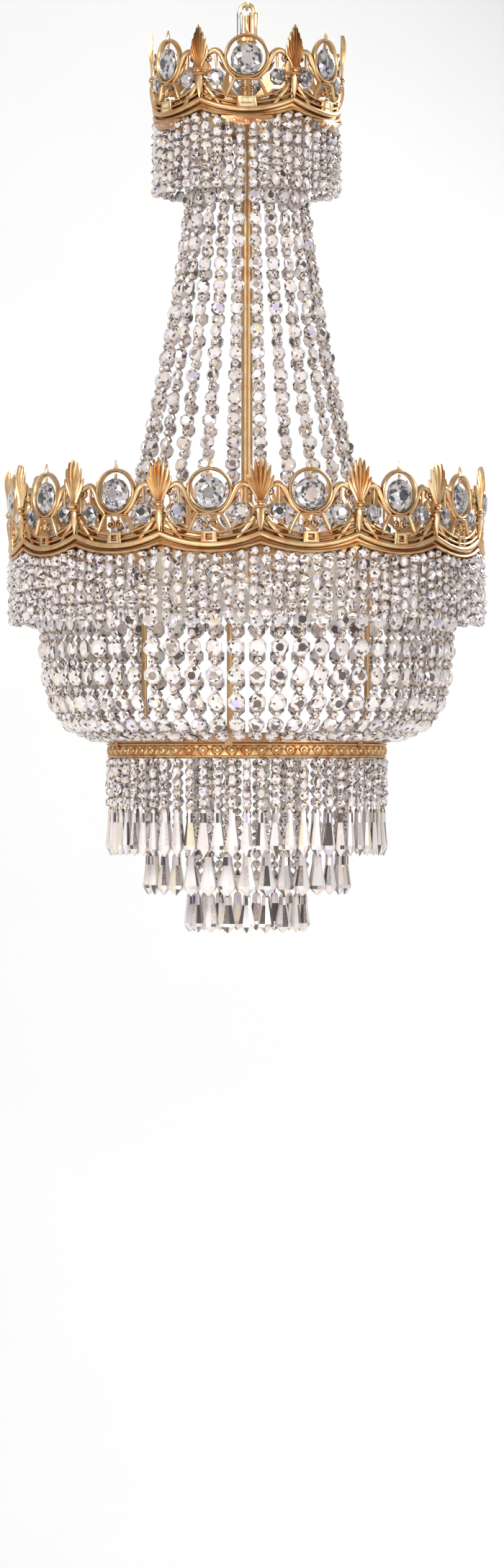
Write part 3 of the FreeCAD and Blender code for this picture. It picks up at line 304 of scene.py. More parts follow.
class Form:
    """Corner points and faces gathered for one piece."""

    def __init__(self):
        self.points = []
        self.faces = []
        self.size = 0

    def add(self, points, faces):
        """Take in points and the faces on them."""
        self.points.append(np.asarray(points, float))
        self.faces += [tuple(corner + self.size for corner in face) for face in faces]
        self.size += len(points)

    def skin(self, rings, closed=False):
        """Four-sided faces between rows of matching points, with the ends covered."""
        rows, across = len(rings), len(rings[0])
        faces = []
        for i in range(rows if closed else rows - 1):
            after = (i + 1) % rows
            for j in range(across):
                k = (j + 1) % across
                faces.append((i * across + j, i * across + k, after * across + k, after * across + j))
        if not closed:
            faces.append(tuple(reversed(range(across))))
            faces.append(tuple(range((rows - 1) * across, rows * across)))
        points = np.concatenate(rings)
        self.add(points, outward(points, faces))

    def all_points(self):
        """Every point so far, as one array."""
        return np.concatenate(self.points)

    def mapped(self, change):
        """This form with its points put through a function."""
        made = Form()
        made.add(change(self.all_points()), self.faces)
        return made

    def around(self, copies, first=0.0):
        """This form repeated round the stem."""
        made = Form()
        for i in range(copies):
            made.add(turned(self.all_points(), first + 360 / copies * i), self.faces)
        return made

    def piece(self, name, finish, slot, nodes=(), body=BODY, soft_edges=None):
        """The finished piece; soft_edges is the angle under which its faces run together."""
        mesh = bpy.data.meshes.new(name)
        mesh.from_pydata((self.all_points() * MM).tolist(), [], self.faces)
        mesh.materials.append(finish)
        if finish in (CRYSTAL, STONE_CRYSTAL):
            cuts = mesh.attributes.new(CUT, "FLOAT", "FACE")
            cuts.data.foreach_set("value", tones.random(len(self.faces), dtype=np.float32))
        if soft_edges:
            mesh.shade_smooth()
            mesh.set_sharp_from_angle(angle=math.radians(soft_edges))
        made = bpy.data.objects.new(name, mesh)
        bpy.context.scene.collection.objects.link(made)
        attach(made, body)
        if nodes:
            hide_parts(*nodes)
        return made


def outward(points, faces):
    """The faces of a closed form, all flipped if they look inwards."""
    triangles = np.array([(face[0], j, k) for face in faces for j, k in zip(face[1:-1], face[2:])])
    first, second, third = (points[triangles[:, k]] for k in range(3))
    volume = np.einsum("ij,ij", first, np.cross(second, third))
    return faces if volume > 0 else [tuple(reversed(face)) for face in faces]


def cut_stone(sides, levels):
    """Points and faces of a stone one in radius and one thick. A level is its depth, its radius
    and how far its corners are turned, as a share of a side."""
    points, faces = [], []
    for depth, radius, turn in levels:
        for i in range(sides):
            angle = 2 * math.pi * (i + 0.5 + turn) / sides
            points.append((radius * math.sin(angle), radius * math.cos(angle), depth))
    for i, (here, after) in enumerate(zip(levels, levels[1:])):
        low, high = i * sides, (i + 1) * sides
        for j in range(sides):
            k = (j + 1) % sides
            if here[2] == after[2]:
                faces.append((low + j, low + k, high + k, high + j))
            elif here[2] < after[2]:
                faces += [(low + j, low + k, high + j), (low + k, high + k, high + j)]
            else:
                faces += [(low + j, high + k, high + j), (low + j, low + k, high + k)]
    faces.append(tuple(reversed(range(sides))))
    faces.append(tuple(range(sides * (len(levels) - 1), sides * len(levels))))
    points = np.array(points)
    return points, outward(points, faces)


def both_sides(levels):
    """Levels from the girdle to the table, mirrored to the back."""
    return [(-depth, radius, turn) for depth, radius, turn in reversed(levels)] + levels


OCTAGON = cut_stone(8, both_sides([(0.09, 1.0, 0.0), (0.33, 0.78, 0.5), (0.5, 0.46, 0.0)]))
ROUND_STONE = cut_stone(16, both_sides([(0.06, 1.0, 0.0), (0.2, 0.9, 0.5), (0.36, 0.7, 0.0),
                                        (0.45, 0.52, 0.5), (0.5, 0.36, 0.0)]))
SMALL_BEAD = cut_stone(6, both_sides([(0.1, 1.0, 0.0), (0.42, 0.66, 0.5), (0.5, 0.3, 0.0)]))


def set_stone(form, shape, centre, right, up, radius, height, thickness):
    """A stone with its table square to right and up."""
    points, faces = shape
    out = np.cross(right, up)
    axes = np.array([np.multiply(right, radius), np.multiply(up, height), np.multiply(out, thickness)])
    form.add(np.asarray(centre) + points @ axes, faces)


# ---------------------------------------------------------------- bead strings

# Clip, drop and kite from the top down: how far down each row lies and how wide it is, as shares.
CLIP_ROWS = [(0.0, 0.55), (0.16, 1.0), (0.5, 0.4), (0.84, 1.0), (1.0, 0.55)]
DROP_ROWS = [(0.03, 0.3), (0.1, 0.46), (0.3, 0.52), (0.77, 1.0), (0.85, 0.88), (1.0, 0.08)]
KITE_ROWS = [(0.04, 0.16), (0.28, 0.8), (0.42, 1.0), (0.52, 0.96), (0.96, 0.14)]
DROP_FLATNESS, KITE_FLATNESS = 0.62, 0.6
EIGHT_CORNERS = [2 * math.pi * (i + 0.5) / 8 for i in range(8)]
CURVE_SAMPLES = 400


class Hanging:
    """One string in the upright plane at an azimuth, given by (reach, height) points."""

    def __init__(self, stones, brass, azimuth):
        self.stones = stones
        self.brass = brass
        angle = math.radians(azimuth)
        self.across = np.array([math.cos(angle), math.sin(angle), 0.0])
        self.away = np.array([math.sin(angle), -math.cos(angle), 0.0])

    def point(self, place):
        """Point in space at a reach from the stem and a height."""
        return self.away * place[0] + np.array([0.0, 0.0, place[1]])

    def twisted(self, down, most):
        """Across direction, turned about the string by up to most degrees."""
        turn = math.radians(chance.uniform(-most, most))
        face = np.cross(down, self.across)
        return self.across * math.cos(turn) + face * math.sin(turn)

    def bead(self, start, end, shape, width, thickness, most):
        """Cut bead between two places, turned about the string by up to most degrees."""
        top, bottom = self.point(start), self.point(end)
        up = (top - bottom) / np.linalg.norm(top - bottom)
        right = self.twisted(-up, most)
        height = np.linalg.norm(top - bottom) / 2
        set_stone(self.stones, shape, (top + bottom) / 2, right, up, width / 2, height, thickness)

    def clip(self, start, end, width, thickness=0.9):
        """Bow-shaped brass clip between two beads, wide at its ends and narrow in the middle."""
        top, bottom = self.point(start), self.point(end)
        down = (bottom - top) / np.linalg.norm(bottom - top)
        right = self.twisted(down, 20)
        out = np.cross(right, down)
        rings = []
        for share, wide in CLIP_ROWS:
            middle = top + (bottom - top) * share
            side, face = right * width / 2 * wide, out * thickness / 2
            rings.append([middle - side - face, middle + side - face, middle + side + face,
                          middle - side + face])
        self.brass.skin([np.array(ring) for ring in rings])

    def straight(self, reach, top, bottom, width=SMALL_WIDTH):
        """Small beads nose to nose, no two quite the same length."""
        beads = max(1, round((top - bottom) / SMALL_PITCH))
        lengths = [chance.uniform(*LENGTH_SPREAD) for _ in range(beads)]
        scale = (top - bottom) / sum(lengths)
        start = top
        for length in lengths:
            end = start - length * scale
            place = reach + chance.uniform(-OUT_OF_LINE, OUT_OF_LINE)
            self.bead((place, start - NOSE_GAP), (place, end + NOSE_GAP), SMALL_BEAD,
                      width * chance.uniform(*WIDTH_SPREAD), SMALL_THICKNESS, ANY_TURN)
            self.clip((reach, start + 0.8), (reach, start - 0.8), 2.0, 1.3)
            start = end

    def pendant(self, reach, top, length, width, rows, right, out):
        """Eight-sided stone, its corners in the directions right and out."""
        rings = []
        for down, wide in rows:
            middle = self.point((reach, top - length * down))
            half = width * wide / 2
            rings.append(np.array([middle + right * half * math.sin(a) + out * half * math.cos(a)
                                   for a in EIGHT_CORNERS]))
        self.stones.skin(rings[::-1])

    def drop(self, reach, top, length, width):
        """Long pendant: slim shoulder, straight flanks, widest three quarters down, blunt foot."""
        self.clip((reach, top + 1.5), (reach, top - length * 0.06), 3.0)
        right = self.twisted(np.array([0.0, 0.0, -1.0]), 12)
        out = np.cross(right, [0.0, 0.0, 1.0])
        self.pendant(reach, top, length, width, DROP_ROWS, right, out * DROP_FLATNESS)

    def kite(self, reach, top, length):
        """Kite-shaped cut bead."""
        self.pendant(reach, top, length, KITE_WIDTH, KITE_ROWS, self.across, self.away * KITE_FLATNESS)
        self.clip((reach, top + 1.5), (reach, top - 2.5), 3.0)

    def link(self, at, middle, half):
        """Little bead on a brass pin, between two large ones."""
        self.clip(at(middle - half - 1.2), at(middle + half + 1.2), 2.4, 1.6)
        self.bead(at(middle - half + 0.2), at(middle + half - 0.2), SMALL_BEAD,
                  chance.uniform(7.2, 8.6), 6.6, ANY_TURN)

    def along(self, curve, pitch, length, width_at, thickness, most):
        """Octagon beads down a curve, with a little bead on a brass pin between two of them."""
        samples = np.array([curve(i / CURVE_SAMPLES) for i in range(CURVE_SAMPLES + 1)])
        runs = np.concatenate([[0.0], np.cumsum(np.linalg.norm(np.diff(samples, axis=0), axis=1))])
        beads = max(1, round(runs[-1] / pitch))
        step = runs[-1] / beads

        def at(distance):
            return [float(np.interp(distance, runs, samples[:, k])) for k in (0, 1)]

        for i in range(beads):
            middle = step * (i + 0.5)
            start, end = at(middle - length / 2), at(middle + length / 2)
            width = width_at((i + 0.5) / beads, start[0])
            self.bead(start, end, OCTAGON, width, thickness, most)
            self.link(at, step * i, (step - length) / 2)
        self.link(at, runs[-1], (step - length) / 2)


def hang(name, node, strings, first, draw):
    """A ring of strings: the stones replace the node, and their clips ride with them."""
    stones, brass = Form(), Form()
    for i in range(strings):
        draw(Hanging(stones, brass, first + 360 / strings * i))
    stones.piece(name + "_beads", CRYSTAL, "crystal", [node])
    brass.piece(name + "_clips", GILT, "gilt_brass")


# ---------------------------------------------------------------- castings

# Cross-sections of a moulding: places across it and out from its back, as shares.
ROUND = [(-1.0, 0.0), (-0.86, 0.52), (-0.5, 0.88), (0.0, 1.0), (0.5, 0.88), (0.86, 0.52), (1.0, 0.0)]
LEAF = [(-1.0, 0.0), (-0.9, 0.3), (-0.5, 0.42), (0.0, 1.0), (0.5, 0.42), (0.9, 0.3), (1.0, 0.0)]
PLATE = [(-1.0, 0.0), (-1.0, 0.85), (-0.94, 1.0), (0.94, 1.0), (1.0, 0.85), (1.0, 0.0)]
# Rows of a boss: its radius and how far out, as shares.
BOSS_ROWS = [(1.0, 0.0), (0.97, 0.3), (0.75, 0.72), (0.4, 0.95), (0.08, 1.0)]
TWELVE_CORNERS = [2 * math.pi * i / 12 for i in range(12)]


def smooth(rows, steps, closed):
    """Curve through rows of numbers, steps points to each span."""
    rows = np.array(rows, float)
    last = len(rows) - 1
    spans = len(rows) if closed else last
    made = []
    for i in range(spans):
        if closed:
            a, b, c, d = (rows[(i + k) % len(rows)] for k in (-1, 0, 1, 2))
        else:
            a, b, c, d = (rows[min(max(i + k, 0), last)] for k in (-1, 0, 1, 2))
        for t in np.arange(steps) / steps:
            made.append(0.5 * (2 * b + (c - a) * t + (2 * a - 5 * b + 4 * c - d) * t ** 2
                               + (3 * b - a - 3 * c + d) * t ** 3))
    if not closed:
        made.append(rows[-1])
    return np.array(made)


def moulding(form, rows, back=-1.5, profile=ROUND, steps=4, closed=False):
    """Bar along rows of (along, height, width, proud) in the flat; proud is how far its crest
    stands out and back is where its flat back lies."""
    rows = smooth(rows, steps, closed)
    if closed:
        run = np.roll(rows, -1, axis=0)[:, :2] - np.roll(rows, 1, axis=0)[:, :2]
    else:
        run = np.gradient(rows[:, :2], axis=0)
    run /= np.linalg.norm(run, axis=1)[:, None]
    side = np.stack([-run[:, 1], run[:, 0]], axis=1)
    rings = []
    for place, edge in zip(rows, side):
        ring = [(*(place[:2] + edge * across * place[2] / 2), back + (place[3] - back) * out)
                for across, out in profile]
        rings.append(np.array(ring))
    form.skin(rings, closed)


def mirror(rows):
    """Rows on the other side of the middle."""
    return [(-row[0], *row[1:]) for row in rows]


def swag(share, middle, cusp):
    """Height of a rail that hangs from one cusp to the next; the share is 1 at a cusp."""
    return middle + (cusp - middle) * share ** 2


def boss(form, along, height, radius, proud, back=-1.0):
    """Round knob."""
    rings = []
    for share, out in BOSS_ROWS:
        level = back + (proud - back) * out
        rings.append(np.array([(along + radius * share * math.sin(a),
                                height + radius * share * math.cos(a), level)
                               for a in TWELVE_CORNERS]))
    form.skin(rings)


def volute(form, along, height, radius, turns, hand, start, width, proud):
    """Scroll that winds in from its rim, thinner towards its eye."""
    steps = int(turns * 10)
    rows = []
    for i in range(steps + 1):
        share = i / steps
        angle = math.radians(start) + hand * 2 * math.pi * turns * share
        reach = radius * (1 - 0.78 * share)
        rows.append((along + reach * math.cos(angle), height + reach * math.sin(angle),
                     width * (1 - 0.55 * share), proud))
    moulding(form, rows, steps=2)
    boss(form, along, height, radius * 0.3, proud + 0.5)


def plinth(form, pierced):
    """Block at the swag's middle, pierced by a square or with a shallow panel."""
    low, high, half, hole = (-8.0, 4.6, 9.0, 3.6) if pierced else (-9.6, 4.2, 11.4, 5.2)
    centre = (low + high) / 2
    outer = [(-half, low), (half, low), (half * 0.86, high), (-half * 0.86, high)]
    inner = [(x * hole, centre + z * hole) for x, z in ((-1, -1), (1, -1), (1, 1), (-1, 1))]
    rings = [[(*p, -1.5) for p in outer], [(*p, 2.6) for p in outer],
             [(p[0] * 0.9, centre + (p[1] - centre) * 0.88, 3.6) for p in outer],
             [(*p, 3.3) for p in inner], [(*p, -0.5 if pierced else 2.9) for p in inner]]
    form.skin([np.array(ring) for ring in rings])


def casting(width, pierced):
    """One casting in the flat: moulded swag, curved rail, medallion ring, scrolls and foliage.
    The rows are (along, height, width, proud)."""
    form = Form()
    half = width / 2
    post = half - POST_INSET
    shares = [i / 8 - 1 for i in range(17)]
    moulding(form, [(half * a, swag(a, -8.6, 2.4), 17 + 3 * a ** 2, -1.0) for a in shares],
             -2.5, PLATE, 1)
    for middle, cusp, wide, proud in SWAG_RAILS:
        moulding(form, [(half * a, swag(a, middle, cusp), wide, proud) for a in shares], steps=2)

    circle = [(math.sin(2 * math.pi * i / 20), math.cos(2 * math.pi * i / 20)) for i in range(20)]
    for inset, wide, proud in ((0.2, 3.6, 3.8), (1.9, 1.0, 2.0)):
        radius = MEDALLION_RADIUS - inset
        moulding(form, [(x * radius, MEDALLION_HEIGHT + z * radius, wide, proud) for x, z in circle],
                 -2.25, steps=2, closed=True)
    crest = MEDALLION_HEIGHT + MEDALLION_RADIUS
    moulding(form, [(0, crest, 7, 1.8), (0, crest + 3, 4.4, 2.0), (0, crest + 6.5, 2.0, 1.4),
                    (0, crest + 10.3, 0.4, 0.3)], -1.2, LEAF)
    moulding(form, [(-15, 21.8, 2.4, 2.0), (0, 22.4, 3.4, 2.6), (15, 21.8, 2.4, 2.0)])
    plinth(form, pierced)

    scroll = [(12.4, 23.5, 3.6, 2.4), (20.2, 32.0, 5.6, 3.0), (24.6, 41.5, 6.2, 3.2),
              (28.6, 49.3, 6.6, 3.4), (34.0, 52.6, 6.6, 3.4), (39.4, 51.2, 5.6, 3.2),
              (43.8, 47.2, 4.8, 3.0), (post, 41.5, 3.4, 2.4)]
    leg = [(12.0, 23.5, 3.2, 2.4), (17.5, 13.5, 4.2, 2.8), (22.0, 3.2, 3.4, 2.4)]
    strut = [(49.0, 22.0, 5.0, 2.2), (40.0, 9.5, 6.4, 2.8), (28.0, -4.5, 4.4, 2.2)]
    upright = [(post, -1.0, 3.2, 2.4), (post, 30.0, 3.2, 2.4), (post, 60.0, 2.6, 2.2)]
    leaves = [[(20, 30, 3.5, 1.8), (25, 34, 4.0, 2.6), (29.5, 40.5, 1.0, 1.2)],
              [(23, 5, 3.0, 1.8), (28, 9.5, 4.6, 2.8), (34.5, 11.5, 1.0, 1.2)],
              [(24, 3, 2.6, 1.6), (31, 3.5, 4.2, 2.6), (38, 0.5, 1.0, 1.2)],
              [(45, 28, 3.0, 1.8), (40.5, 33.5, 4.0, 2.4), (43.0, 40.5, 1.0, 1.4)]]
    for side in (list, mirror):
        for rows in (scroll, leg, strut):
            moulding(form, side(rows))
        moulding(form, side(upright), -1.7, steps=1)
        for rows in leaves:
            moulding(form, side(rows), -1.2, LEAF)
    for hand in (-1, 1):
        volute(form, hand * 5.2, 12.2, 4.9, 1.3, hand, 90, 2.2, 2.6)
        volute(form, hand * 42.3, 44.3, 4.0, 1.1, hand, 90 + hand * 40, 2.4, 2.8)
    return form


# A palmette: its strands, each as its reach along, its tip's reach, its tip's height and its
# crest; the width of a tip and of a strand.
FLAME = ([(0, 0, 80, 9.0), (2.5, 2.0, 77, 8.4), (4.9, 4.6, 72, 7.7), (7.0, 7.4, 66, 7.0),
          (8.4, 9.6, 58, 6.2)], 0.5, 3.2)
FAN = ([(0, 0, 80, 9.4), (4.0, 5.0, 78, 8.4), (7.2, 10.2, 71.5, 7.6), (9.4, 13.6, 61, 6.8)], 1.2, 4.8)
# The ground behind the strands, as heights and widths, and the rings of the collar under them.
GROUND = [(34, 5), (44, 8), (54, 12), (62, 10), (69, 5), (74, 2)]
COLLAR = 34
COLLAR_RINGS = [(34.4, 5.2), (29.0, 6.2)]
PALMETTE_BACK = 3.8


def palmette(shape):
    """Strands over a double collar and a downward spear, in the flat."""
    form = Form()
    strands, tip_width, width = shape
    for wide, tip, top, proud in strands:
        rise = top - COLLAR
        rows = [(wide * 0.2, COLLAR, 2.2, 5.6), (wide * 0.5, COLLAR + rise * 0.26, width * 0.8, 6.4),
                (wide, COLLAR + rise * 0.58, width, proud),
                (wide * 0.4 + tip * 0.6, COLLAR + rise * 0.84, width * 0.8, proud),
                (tip, top, tip_width, proud - 1.8)]
        in_the_middle = tip == 0
        for side in (list,) if in_the_middle else (list, mirror):
            moulding(form, side(rows), PALMETTE_BACK, LEAF, 3)
    moulding(form, [(0, height, wide, 4.9) for height, wide in GROUND], PALMETTE_BACK, PLATE, 3)
    for height, half in COLLAR_RINGS:
        moulding(form, [(-half, height - 0.6, 2.4, 6.0), (0, height, 3.2, 7.6),
                        (half, height - 0.6, 2.4, 6.0)], 3.0, ROUND, 3)
    boss(form, 0, 31.8, 2.6, 8.4, 4.0)
    moulding(form, [(0, 28, 4.5, 6.0), (0, 22.5, 8.4, 7.4), (0, 15.5, 7.2, 7.0), (0, 8.5, 3.8, 5.8),
                    (0, 2.5, 0.6, 4.8)], 3.2, LEAF, 3)
    for hand in (-1, 1):
        volute(form, hand * 6.4, 21.0, 3.4, 1.0, hand, 90, 1.8, 5.4)
    return form


def bender(radius, base):
    """Function that bends a flat form round the stem, its height 0 at a base level."""
    def bend(points):
        angle, reach = points[:, 0] / radius, radius + points[:, 2]
        return np.stack([reach * np.sin(angle), -reach * np.cos(angle), base + points[:, 1]], axis=1)
    return bend


class Crown:
    """Cylinder on which flat forms are bent, with its castings, stones and skirt."""

    def __init__(self, name, radius, units, first):
        self.name = name
        self.radius = radius
        self.units = units
        self.first = first
        self.casting_width = 2 * math.pi * radius / units
        self.cusp = box_mm(name + "_palmettes")[1][2] - PALMETTE_HEIGHT
        self.bend = bender(radius, self.cusp)

    def place(self, along, height):
        """Point on the cylinder."""
        return self.bend(np.array([[along, height, 0.0]]))[0]

    def dress(self):
        """Make every piece of the crown."""
        lower = self.name == "lower"
        step = 360 / self.units
        flat = casting(self.casting_width, pierced=lower)
        flat.mapped(self.bend).around(self.units, self.first).piece(
            self.name + "_crown_castings", GILT, "gilt_brass", [self.name + "_castings"],
            soft_edges=50)
        flat = palmette(FAN if lower else FLAME)
        flat.mapped(self.bend).around(self.units, self.first + step / 2).piece(
            self.name + "_crown_palmettes", GILT, "gilt_brass", [self.name + "_palmettes"],
            soft_edges=40)
        self.hang_arch_stones()
        for i in range(self.units):
            self.hang_medallion(i + 1, self.first + step * i)
        self.hang_skirt()

    def hook(self, form, along, top, bottom):
        """Flat brass hook down to a stone, widest at its middle."""
        flat = Form()
        moulding(flat, [(along, top, 2.0, 0.9), (along, (top + bottom) / 2 + 1, 3.4, 1.2),
                        (along, bottom + 1.5, 1.8, 1.0), (along, bottom - 0.5, 2.6, 1.0)],
                 -0.9, ROUND, 3)
        flat = flat.mapped(self.bend)
        form.add(flat.all_points(), flat.faces)

    def hang_arch_stones(self):
        """Octagon stones and their hooks in the arches, two to a casting."""
        stone, hook = Form(), Form()
        for side in (-1, 1):
            along = side * ARCH_STONE_OFFSET
            angle = along / self.radius
            set_stone(stone, OCTAGON, self.place(along, ARCH_STONE_HEIGHT),
                      (math.cos(angle), math.sin(angle), 0), (0, 0, 1),
                      ARCH_STONE_RADIUS, ARCH_STONE_RADIUS, ARCH_STONE_THICKNESS)
            self.hook(hook, along, ARCH_HOOK_TOP, ARCH_STONE_HEIGHT + ARCH_STONE_RADIUS * 0.94)
        stone.around(self.units, self.first).piece(
            self.name + "_arch_stones", STONE_CRYSTAL, "crystal", [self.name + "_arch_crystals"])
        hook.around(self.units, self.first).piece(
            self.name + "_arch_hooks", GILT, "gilt_brass", soft_edges=40)

    def hang_medallion(self, number, azimuth):
        """Round stone and hook that swing together."""
        body = f"{self.name}_medallion_crystal_{number:02d}"
        stone, hook = Form(), Form()
        middle = MEDALLION_HEIGHT - STONE_DROP
        set_stone(stone, ROUND_STONE, self.place(0, middle), (1, 0, 0), (0, 0, 1),
                  STONE_RADIUS, STONE_RADIUS, STONE_THICKNESS)
        ring_inside = MEDALLION_HEIGHT + MEDALLION_RADIUS - MEDALLION_WALL
        self.hook(hook, 0, ring_inside - 0.6, middle + STONE_RADIUS * 0.9)
        stone.around(1, azimuth).piece(
            f"{self.name}_stone_{number:02d}", STONE_CRYSTAL, "crystal", [body], body)
        hook.around(1, azimuth).piece(
            f"{self.name}_stone_hook_{number:02d}", GILT, "gilt_brass", body=body, soft_edges=40)

    def hang_skirt(self):
        """Close strings of small beads under the swag, with uneven ends."""
        node = self.name + "_skirt_strings"
        bottom = box_mm(node)[0][2]
        stones, brass = Form(), Form()
        for unit in range(self.units):
            for k in range(STRINGS_PER_UNIT):
                share = (2 * k + 1) / STRINGS_PER_UNIT - 1
                azimuth = self.first + 360 / self.units * (unit + share / 2)
                string = Hanging(stones, brass, azimuth)
                top = self.cusp + swag(share, *SWAG_RAILS[0][:2]) - SKIRT_GAP
                string.straight(self.radius, top, bottom + chance.uniform(*UNEVEN_END),
                                SKIRT_BEAD_WIDTH)
        stones.piece(self.name + "_skirt_beads", CRYSTAL, "crystal", [node])
        brass.piece(self.name + "_skirt_clips", GILT, "gilt_brass")


# ---------------------------------------------------------------- strings of neck, bowl and tiers


def hang_neck():
    """Strings that flare from under the top ring to the neck ring."""
    low, high = box_mm("neck_strings")
    end_radius = box_mm("neck_ring")[1][0] - 2

    def curve(share):
        return (NECK_TOP_RADIUS + (end_radius - NECK_TOP_RADIUS) * share ** NECK_FLARE,
                high[2] + (low[2] - high[2]) * share)

    def width(share, reach):
        return min(14.4 + 2.6 * share, 2 * math.pi * reach / NECK_STRINGS * 0.92)

    hang("neck", "neck_strings", NECK_STRINGS, 180 / NECK_STRINGS,
         lambda string: string.along(curve, NECK_PITCH, NECK_BEAD_LENGTH, width,
                                     NECK_BEAD_THICKNESS, most=34))


def hang_bowl():
    """Strings that fall from the wide ring and turn in to the bowl's small ring."""
    low, high = box_mm("bowl_strings")
    top_ring = box_mm("bowl_top_ring")[1][0] - 2
    end_ring = box_mm("bowl_ring")[1][0]

    def curve(share):
        down = math.sin(share * math.pi / 2)
        side = top_ring - BOWL_TAPER * down - end_ring
        return (end_ring + side * math.sqrt(max(0.0, 1 - down ** BOWL_CORNER)),
                high[2] + (low[2] + 3 - high[2]) * down)

    def width(share, reach):
        return min(19.6, 2 * math.pi * reach / BOWL_STRINGS * 0.86)

    hang("bowl", "bowl_strings", BOWL_STRINGS, 180 / BOWL_STRINGS,
         lambda string: string.along(curve, BOWL_PITCH, BOWL_BEAD_LENGTH, width,
                                     BOWL_BEAD_THICKNESS, most=22))


def hang_tier(name, reach, strings, bead_run, drop, drop_width, kite):
    """Ring of straight strings, each ending in a drop, some with a kite above it."""
    top = box_mm(name + "_strings")[1][2]

    def draw(string):
        low = top - bead_run
        string.straight(reach, top, low)
        if kite:
            string.kite(reach, low, kite)
        string.drop(reach, low - kite, drop, drop_width)

    hang(name, name + "_strings", strings, 0.0, draw)


# ---------------------------------------------------------------- trim

BAND_REPEATS, BAND_MIDDLE = 60, 7.6
# Sleeve from the bottom up: height and width as shares.
SLEEVE_ROWS = [(0.0, 0.86), (0.0, 1.0), (0.06, 1.1), (0.12, 1.0), (0.88, 1.0), (0.94, 1.1),
               (1.0, 1.0), (1.0, 0.86)]
SLEEVE_FOOT, SLEEVE_LENGTH, SLEEVE_OFFSET, FLUTE_DEPTH = 4.4, 26.5, 7.5, 0.06
PLAIN_SLEEVE_RADIUS, FLUTED_SLEEVE_RADIUS = 3.4, 5.0


def dress_band():
    """Pressed foliage between two plain rails, round the band that carries the first tier."""
    low, high = box_mm("tier_one_band")
    radius = high[0]
    half = math.pi * radius / BAND_REPEATS
    form = Form()
    moulding(form, [(-half, BAND_MIDDLE, 15.4, 0.2), (half, BAND_MIDDLE, 15.4, 0.2)], -2.0, PLATE, 1)
    for height, width, proud in ((1.2, 2.4, 1.8), (14.0, 2.6, 2.2)):
        moulding(form, [(-half, height, width, proud), (half, height, width, proud)], -0.5, steps=1)
    boss(form, 0, BAND_MIDDLE, 2.9, 2.2)
    leaves = [[(0.8, 3.2, 1.2, 0.8), (4.2, 4.6, 3.6, 1.8), (half, 10.2, 1.2, 0.9)],
              [(1.4, 11.6, 1.2, 0.8), (4.2, 11.0, 2.8, 1.7), (6.8, 7.2, 0.8, 0.9)]]
    for hand, side in ((1, list), (-1, mirror)):
        for rows in leaves:
            moulding(form, side(rows), -0.5, LEAF, 2)
        boss(form, hand * 4.6, 7.8, 1.1, 1.6)
    form = form.mapped(bender(radius, low[2])).around(BAND_REPEATS)
    form.piece("tier_one_foliage_band", GILT, "gilt_brass", ["tier_one_band"], soft_edges=45)


def hang_aprons(cusp):
    """Copper-coloured crescents under the swags of the upper crown."""
    form = Form()
    shares = [i / 6 - 1 for i in range(13)]
    moulding(form, [(26 * a, -21.8 + 4.6 * a ** 2, 9.6 * (1 - 0.86 * a ** 2), 4.4) for a in shares],
             3.0, PLATE, 2)
    for along, height in ((-12, -22.0), (0, -22.8), (12, -22.0)):
        boss(form, along, height, 3.0, 5.0, 3.5)
    form = form.mapped(bender(UPPER_RADIUS, cusp)).around(UPPER_UNITS, UPPER_FIRST)
    form.piece("upper_crown_aprons", ROSE, "rose_brass", soft_edges=40)


def sleeve(name, along, radius, flute_depth, finish, slot):
    """Collared sleeve round one leg of the yoke."""
    foot = box_mm("stem_yoke")[0][2] + SLEEVE_FOOT
    rings = []
    for share, wide in SLEEVE_ROWS:
        flute = flute_depth if 0.1 < share < 0.9 else 0.0
        ring = []
        for i in range(24):
            angle = 2 * math.pi * i / 24
            reach = radius * (wide - flute * (i % 2))
            ring.append((along + reach * math.sin(angle), -reach * math.cos(angle),
                         foot + SLEEVE_LENGTH * share))
        rings.append(np.array(ring))
    form = Form()
    form.skin(rings)
    form.piece(name, finish, slot, soft_edges=40)


# ---------------------------------------------------------------- carried-over construction


def dress_construction():
    """Give every shape of the construction the finish of its slot."""
    finishes = {"gilt_brass": GILT, "rose_brass": ROSE, "plated_steel": PLATED_STEEL,
                "crystal": CRYSTAL, "frosted_glass": LAMP_GLASS, "white_plastic": WHITE_PLASTIC,
                "cream_plastic": CREAM_PLASTIC, "clear_lead": LEAD_SKIN}
    for sub_part in frame["record"]["subparts"]:
        node = frame["nodes"][sub_part["node"]]
        node.data.materials.clear()
        node.data.materials.append(finishes[sub_part["material_slot"]])


# ---------------------------------------------------------------- studio, in metres

CAMERA_PLACE = (0.0054, -6.0, -0.9494)
LENS, SENSOR = 128.9, 36
FLOOR_HEIGHT, WALL_TOP, WALL_PLACE, FLOOR_FRONT, HALF_WIDTH = -2.1, 5.0, 2.6, -9.0, 9.0
COVE_RADIUS, COVE_STEPS = 0.8, 12
SKY_COLOUR, SKY_STRENGTH = (0.72, 0.73, 0.75, 1), 0.6
LAMP_AIM = (0, 0, -0.65)
# Name, place, diameter and watts.
LAMPS = [("key", (-2.2, -3.2, 0.9), 1.4, 110), ("fill", (2.6, -2.4, -0.6), 1.8, 45),
         ("rim", (1.4, 1.6, 0.5), 0.9, 60), ("low", (-0.6, -2.0, -1.9), 1.0, 18)]


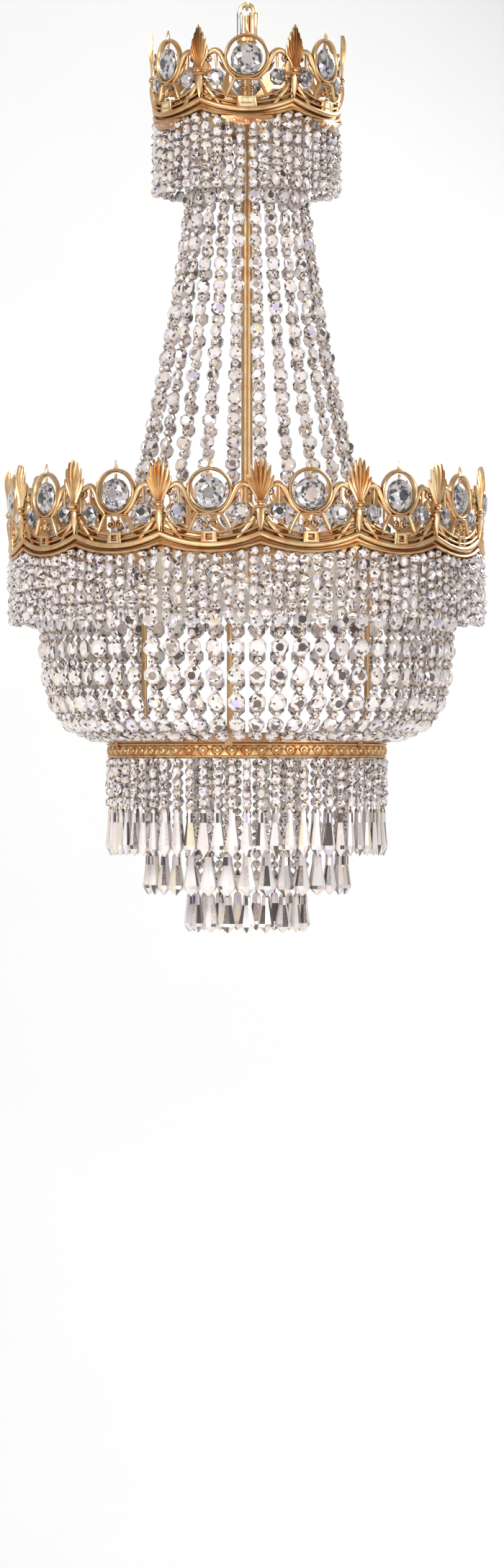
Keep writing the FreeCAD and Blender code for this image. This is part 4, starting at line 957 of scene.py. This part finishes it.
def backdrop():
    """Pale floor that curves up into a wall behind. Its back is clear, so that it doesn't hide the
    chandelier from a viewer behind it."""
    finish = Finish("backdrop_paper")
    mottle = finish.noise(3.0, 2.0)
    colour = finish.mix(mottle, (0.8, 0.8, 0.79), (0.84, 0.84, 0.83))
    front = finish.node("BsdfPrincipled", {}, {"Base Color": colour, "Roughness": 0.9})
    back = finish.node("NewGeometry", output="Backfacing")
    sides = finish.node("MixShader", {}, {0: back, 1: front, 2: finish.node("BsdfTransparent")})
    finish.node("OutputMaterial", {}, {"Surface": sides})
    foot = WALL_PLACE - COVE_RADIUS
    line = [(FLOOR_FRONT, FLOOR_HEIGHT), (foot, FLOOR_HEIGHT)]
    for i in range(1, COVE_STEPS + 1):
        angle = math.pi / 2 * i / COVE_STEPS
        line.append((foot + COVE_RADIUS * math.sin(angle),
                     FLOOR_HEIGHT + COVE_RADIUS - COVE_RADIUS * math.cos(angle)))
    line.append((WALL_PLACE, WALL_TOP))
    points = [(side * HALF_WIDTH, y, z) for y, z in line for side in (-1, 1)]
    faces = [(2 * i, 2 * i + 1, 2 * i + 3, 2 * i + 2) for i in range(len(line) - 1)]
    mesh = bpy.data.meshes.new("backdrop")
    mesh.from_pydata(points, [], faces)
    mesh.materials.append(finish.material)
    mesh.shade_smooth()
    sheet = bpy.data.objects.new("backdrop", mesh)
    bpy.context.scene.collection.objects.link(sheet)


def lamp(name, place, diameter, watts):
    """Round area lamp aimed at the middle of the chandelier."""
    light = bpy.data.lights.new(name, "AREA")
    light.shape = "DISK"
    light.size = diameter
    light.energy = watts
    made = bpy.data.objects.new(name, light)
    made.location = place
    x, y, z = np.subtract(LAMP_AIM, place)
    made.rotation_euler = (math.atan2(math.hypot(x, y), -z), 0, math.atan2(-x, y))
    bpy.context.scene.collection.objects.link(made)


def studio():
    """World, lamps and the camera at the photograph's view."""
    scene = bpy.context.scene
    scene.view_settings.view_transform = "Standard"
    world = bpy.data.worlds.new("studio")
    world.use_nodes = True
    world.node_tree.nodes["Background"].inputs["Color"].default_value = SKY_COLOUR
    world.node_tree.nodes["Background"].inputs["Strength"].default_value = SKY_STRENGTH
    scene.world = world
    for name, place, diameter, watts in LAMPS:
        lamp(name, place, diameter, watts)
    camera = bpy.data.cameras.new("camera")
    camera.lens = LENS
    camera.sensor_width = SENSOR
    made = bpy.data.objects.new("camera", camera)
    made.location = CAMERA_PLACE
    made.rotation_euler = (math.pi / 2, 0, 0)
    scene.collection.objects.link(made)
    scene.camera = made


dress_construction()
upper_crown = Crown("upper", UPPER_RADIUS, UPPER_UNITS, UPPER_FIRST)
upper_crown.dress()
Crown("lower", LOWER_RADIUS, LOWER_UNITS, LOWER_FIRST).dress()
hang_aprons(upper_crown.cusp)
sleeve("yoke_sleeve", -SLEEVE_OFFSET, PLAIN_SLEEVE_RADIUS, 0.0, PLATED_STEEL, "plated_steel")
sleeve("yoke_fluted_sleeve", SLEEVE_OFFSET, FLUTED_SLEEVE_RADIUS, FLUTE_DEPTH, GILT, "gilt_brass")
dress_band()
hang_neck()
hang_bowl()
for tier in TIERS:
    hang_tier(*tier)
backdrop()
studio()
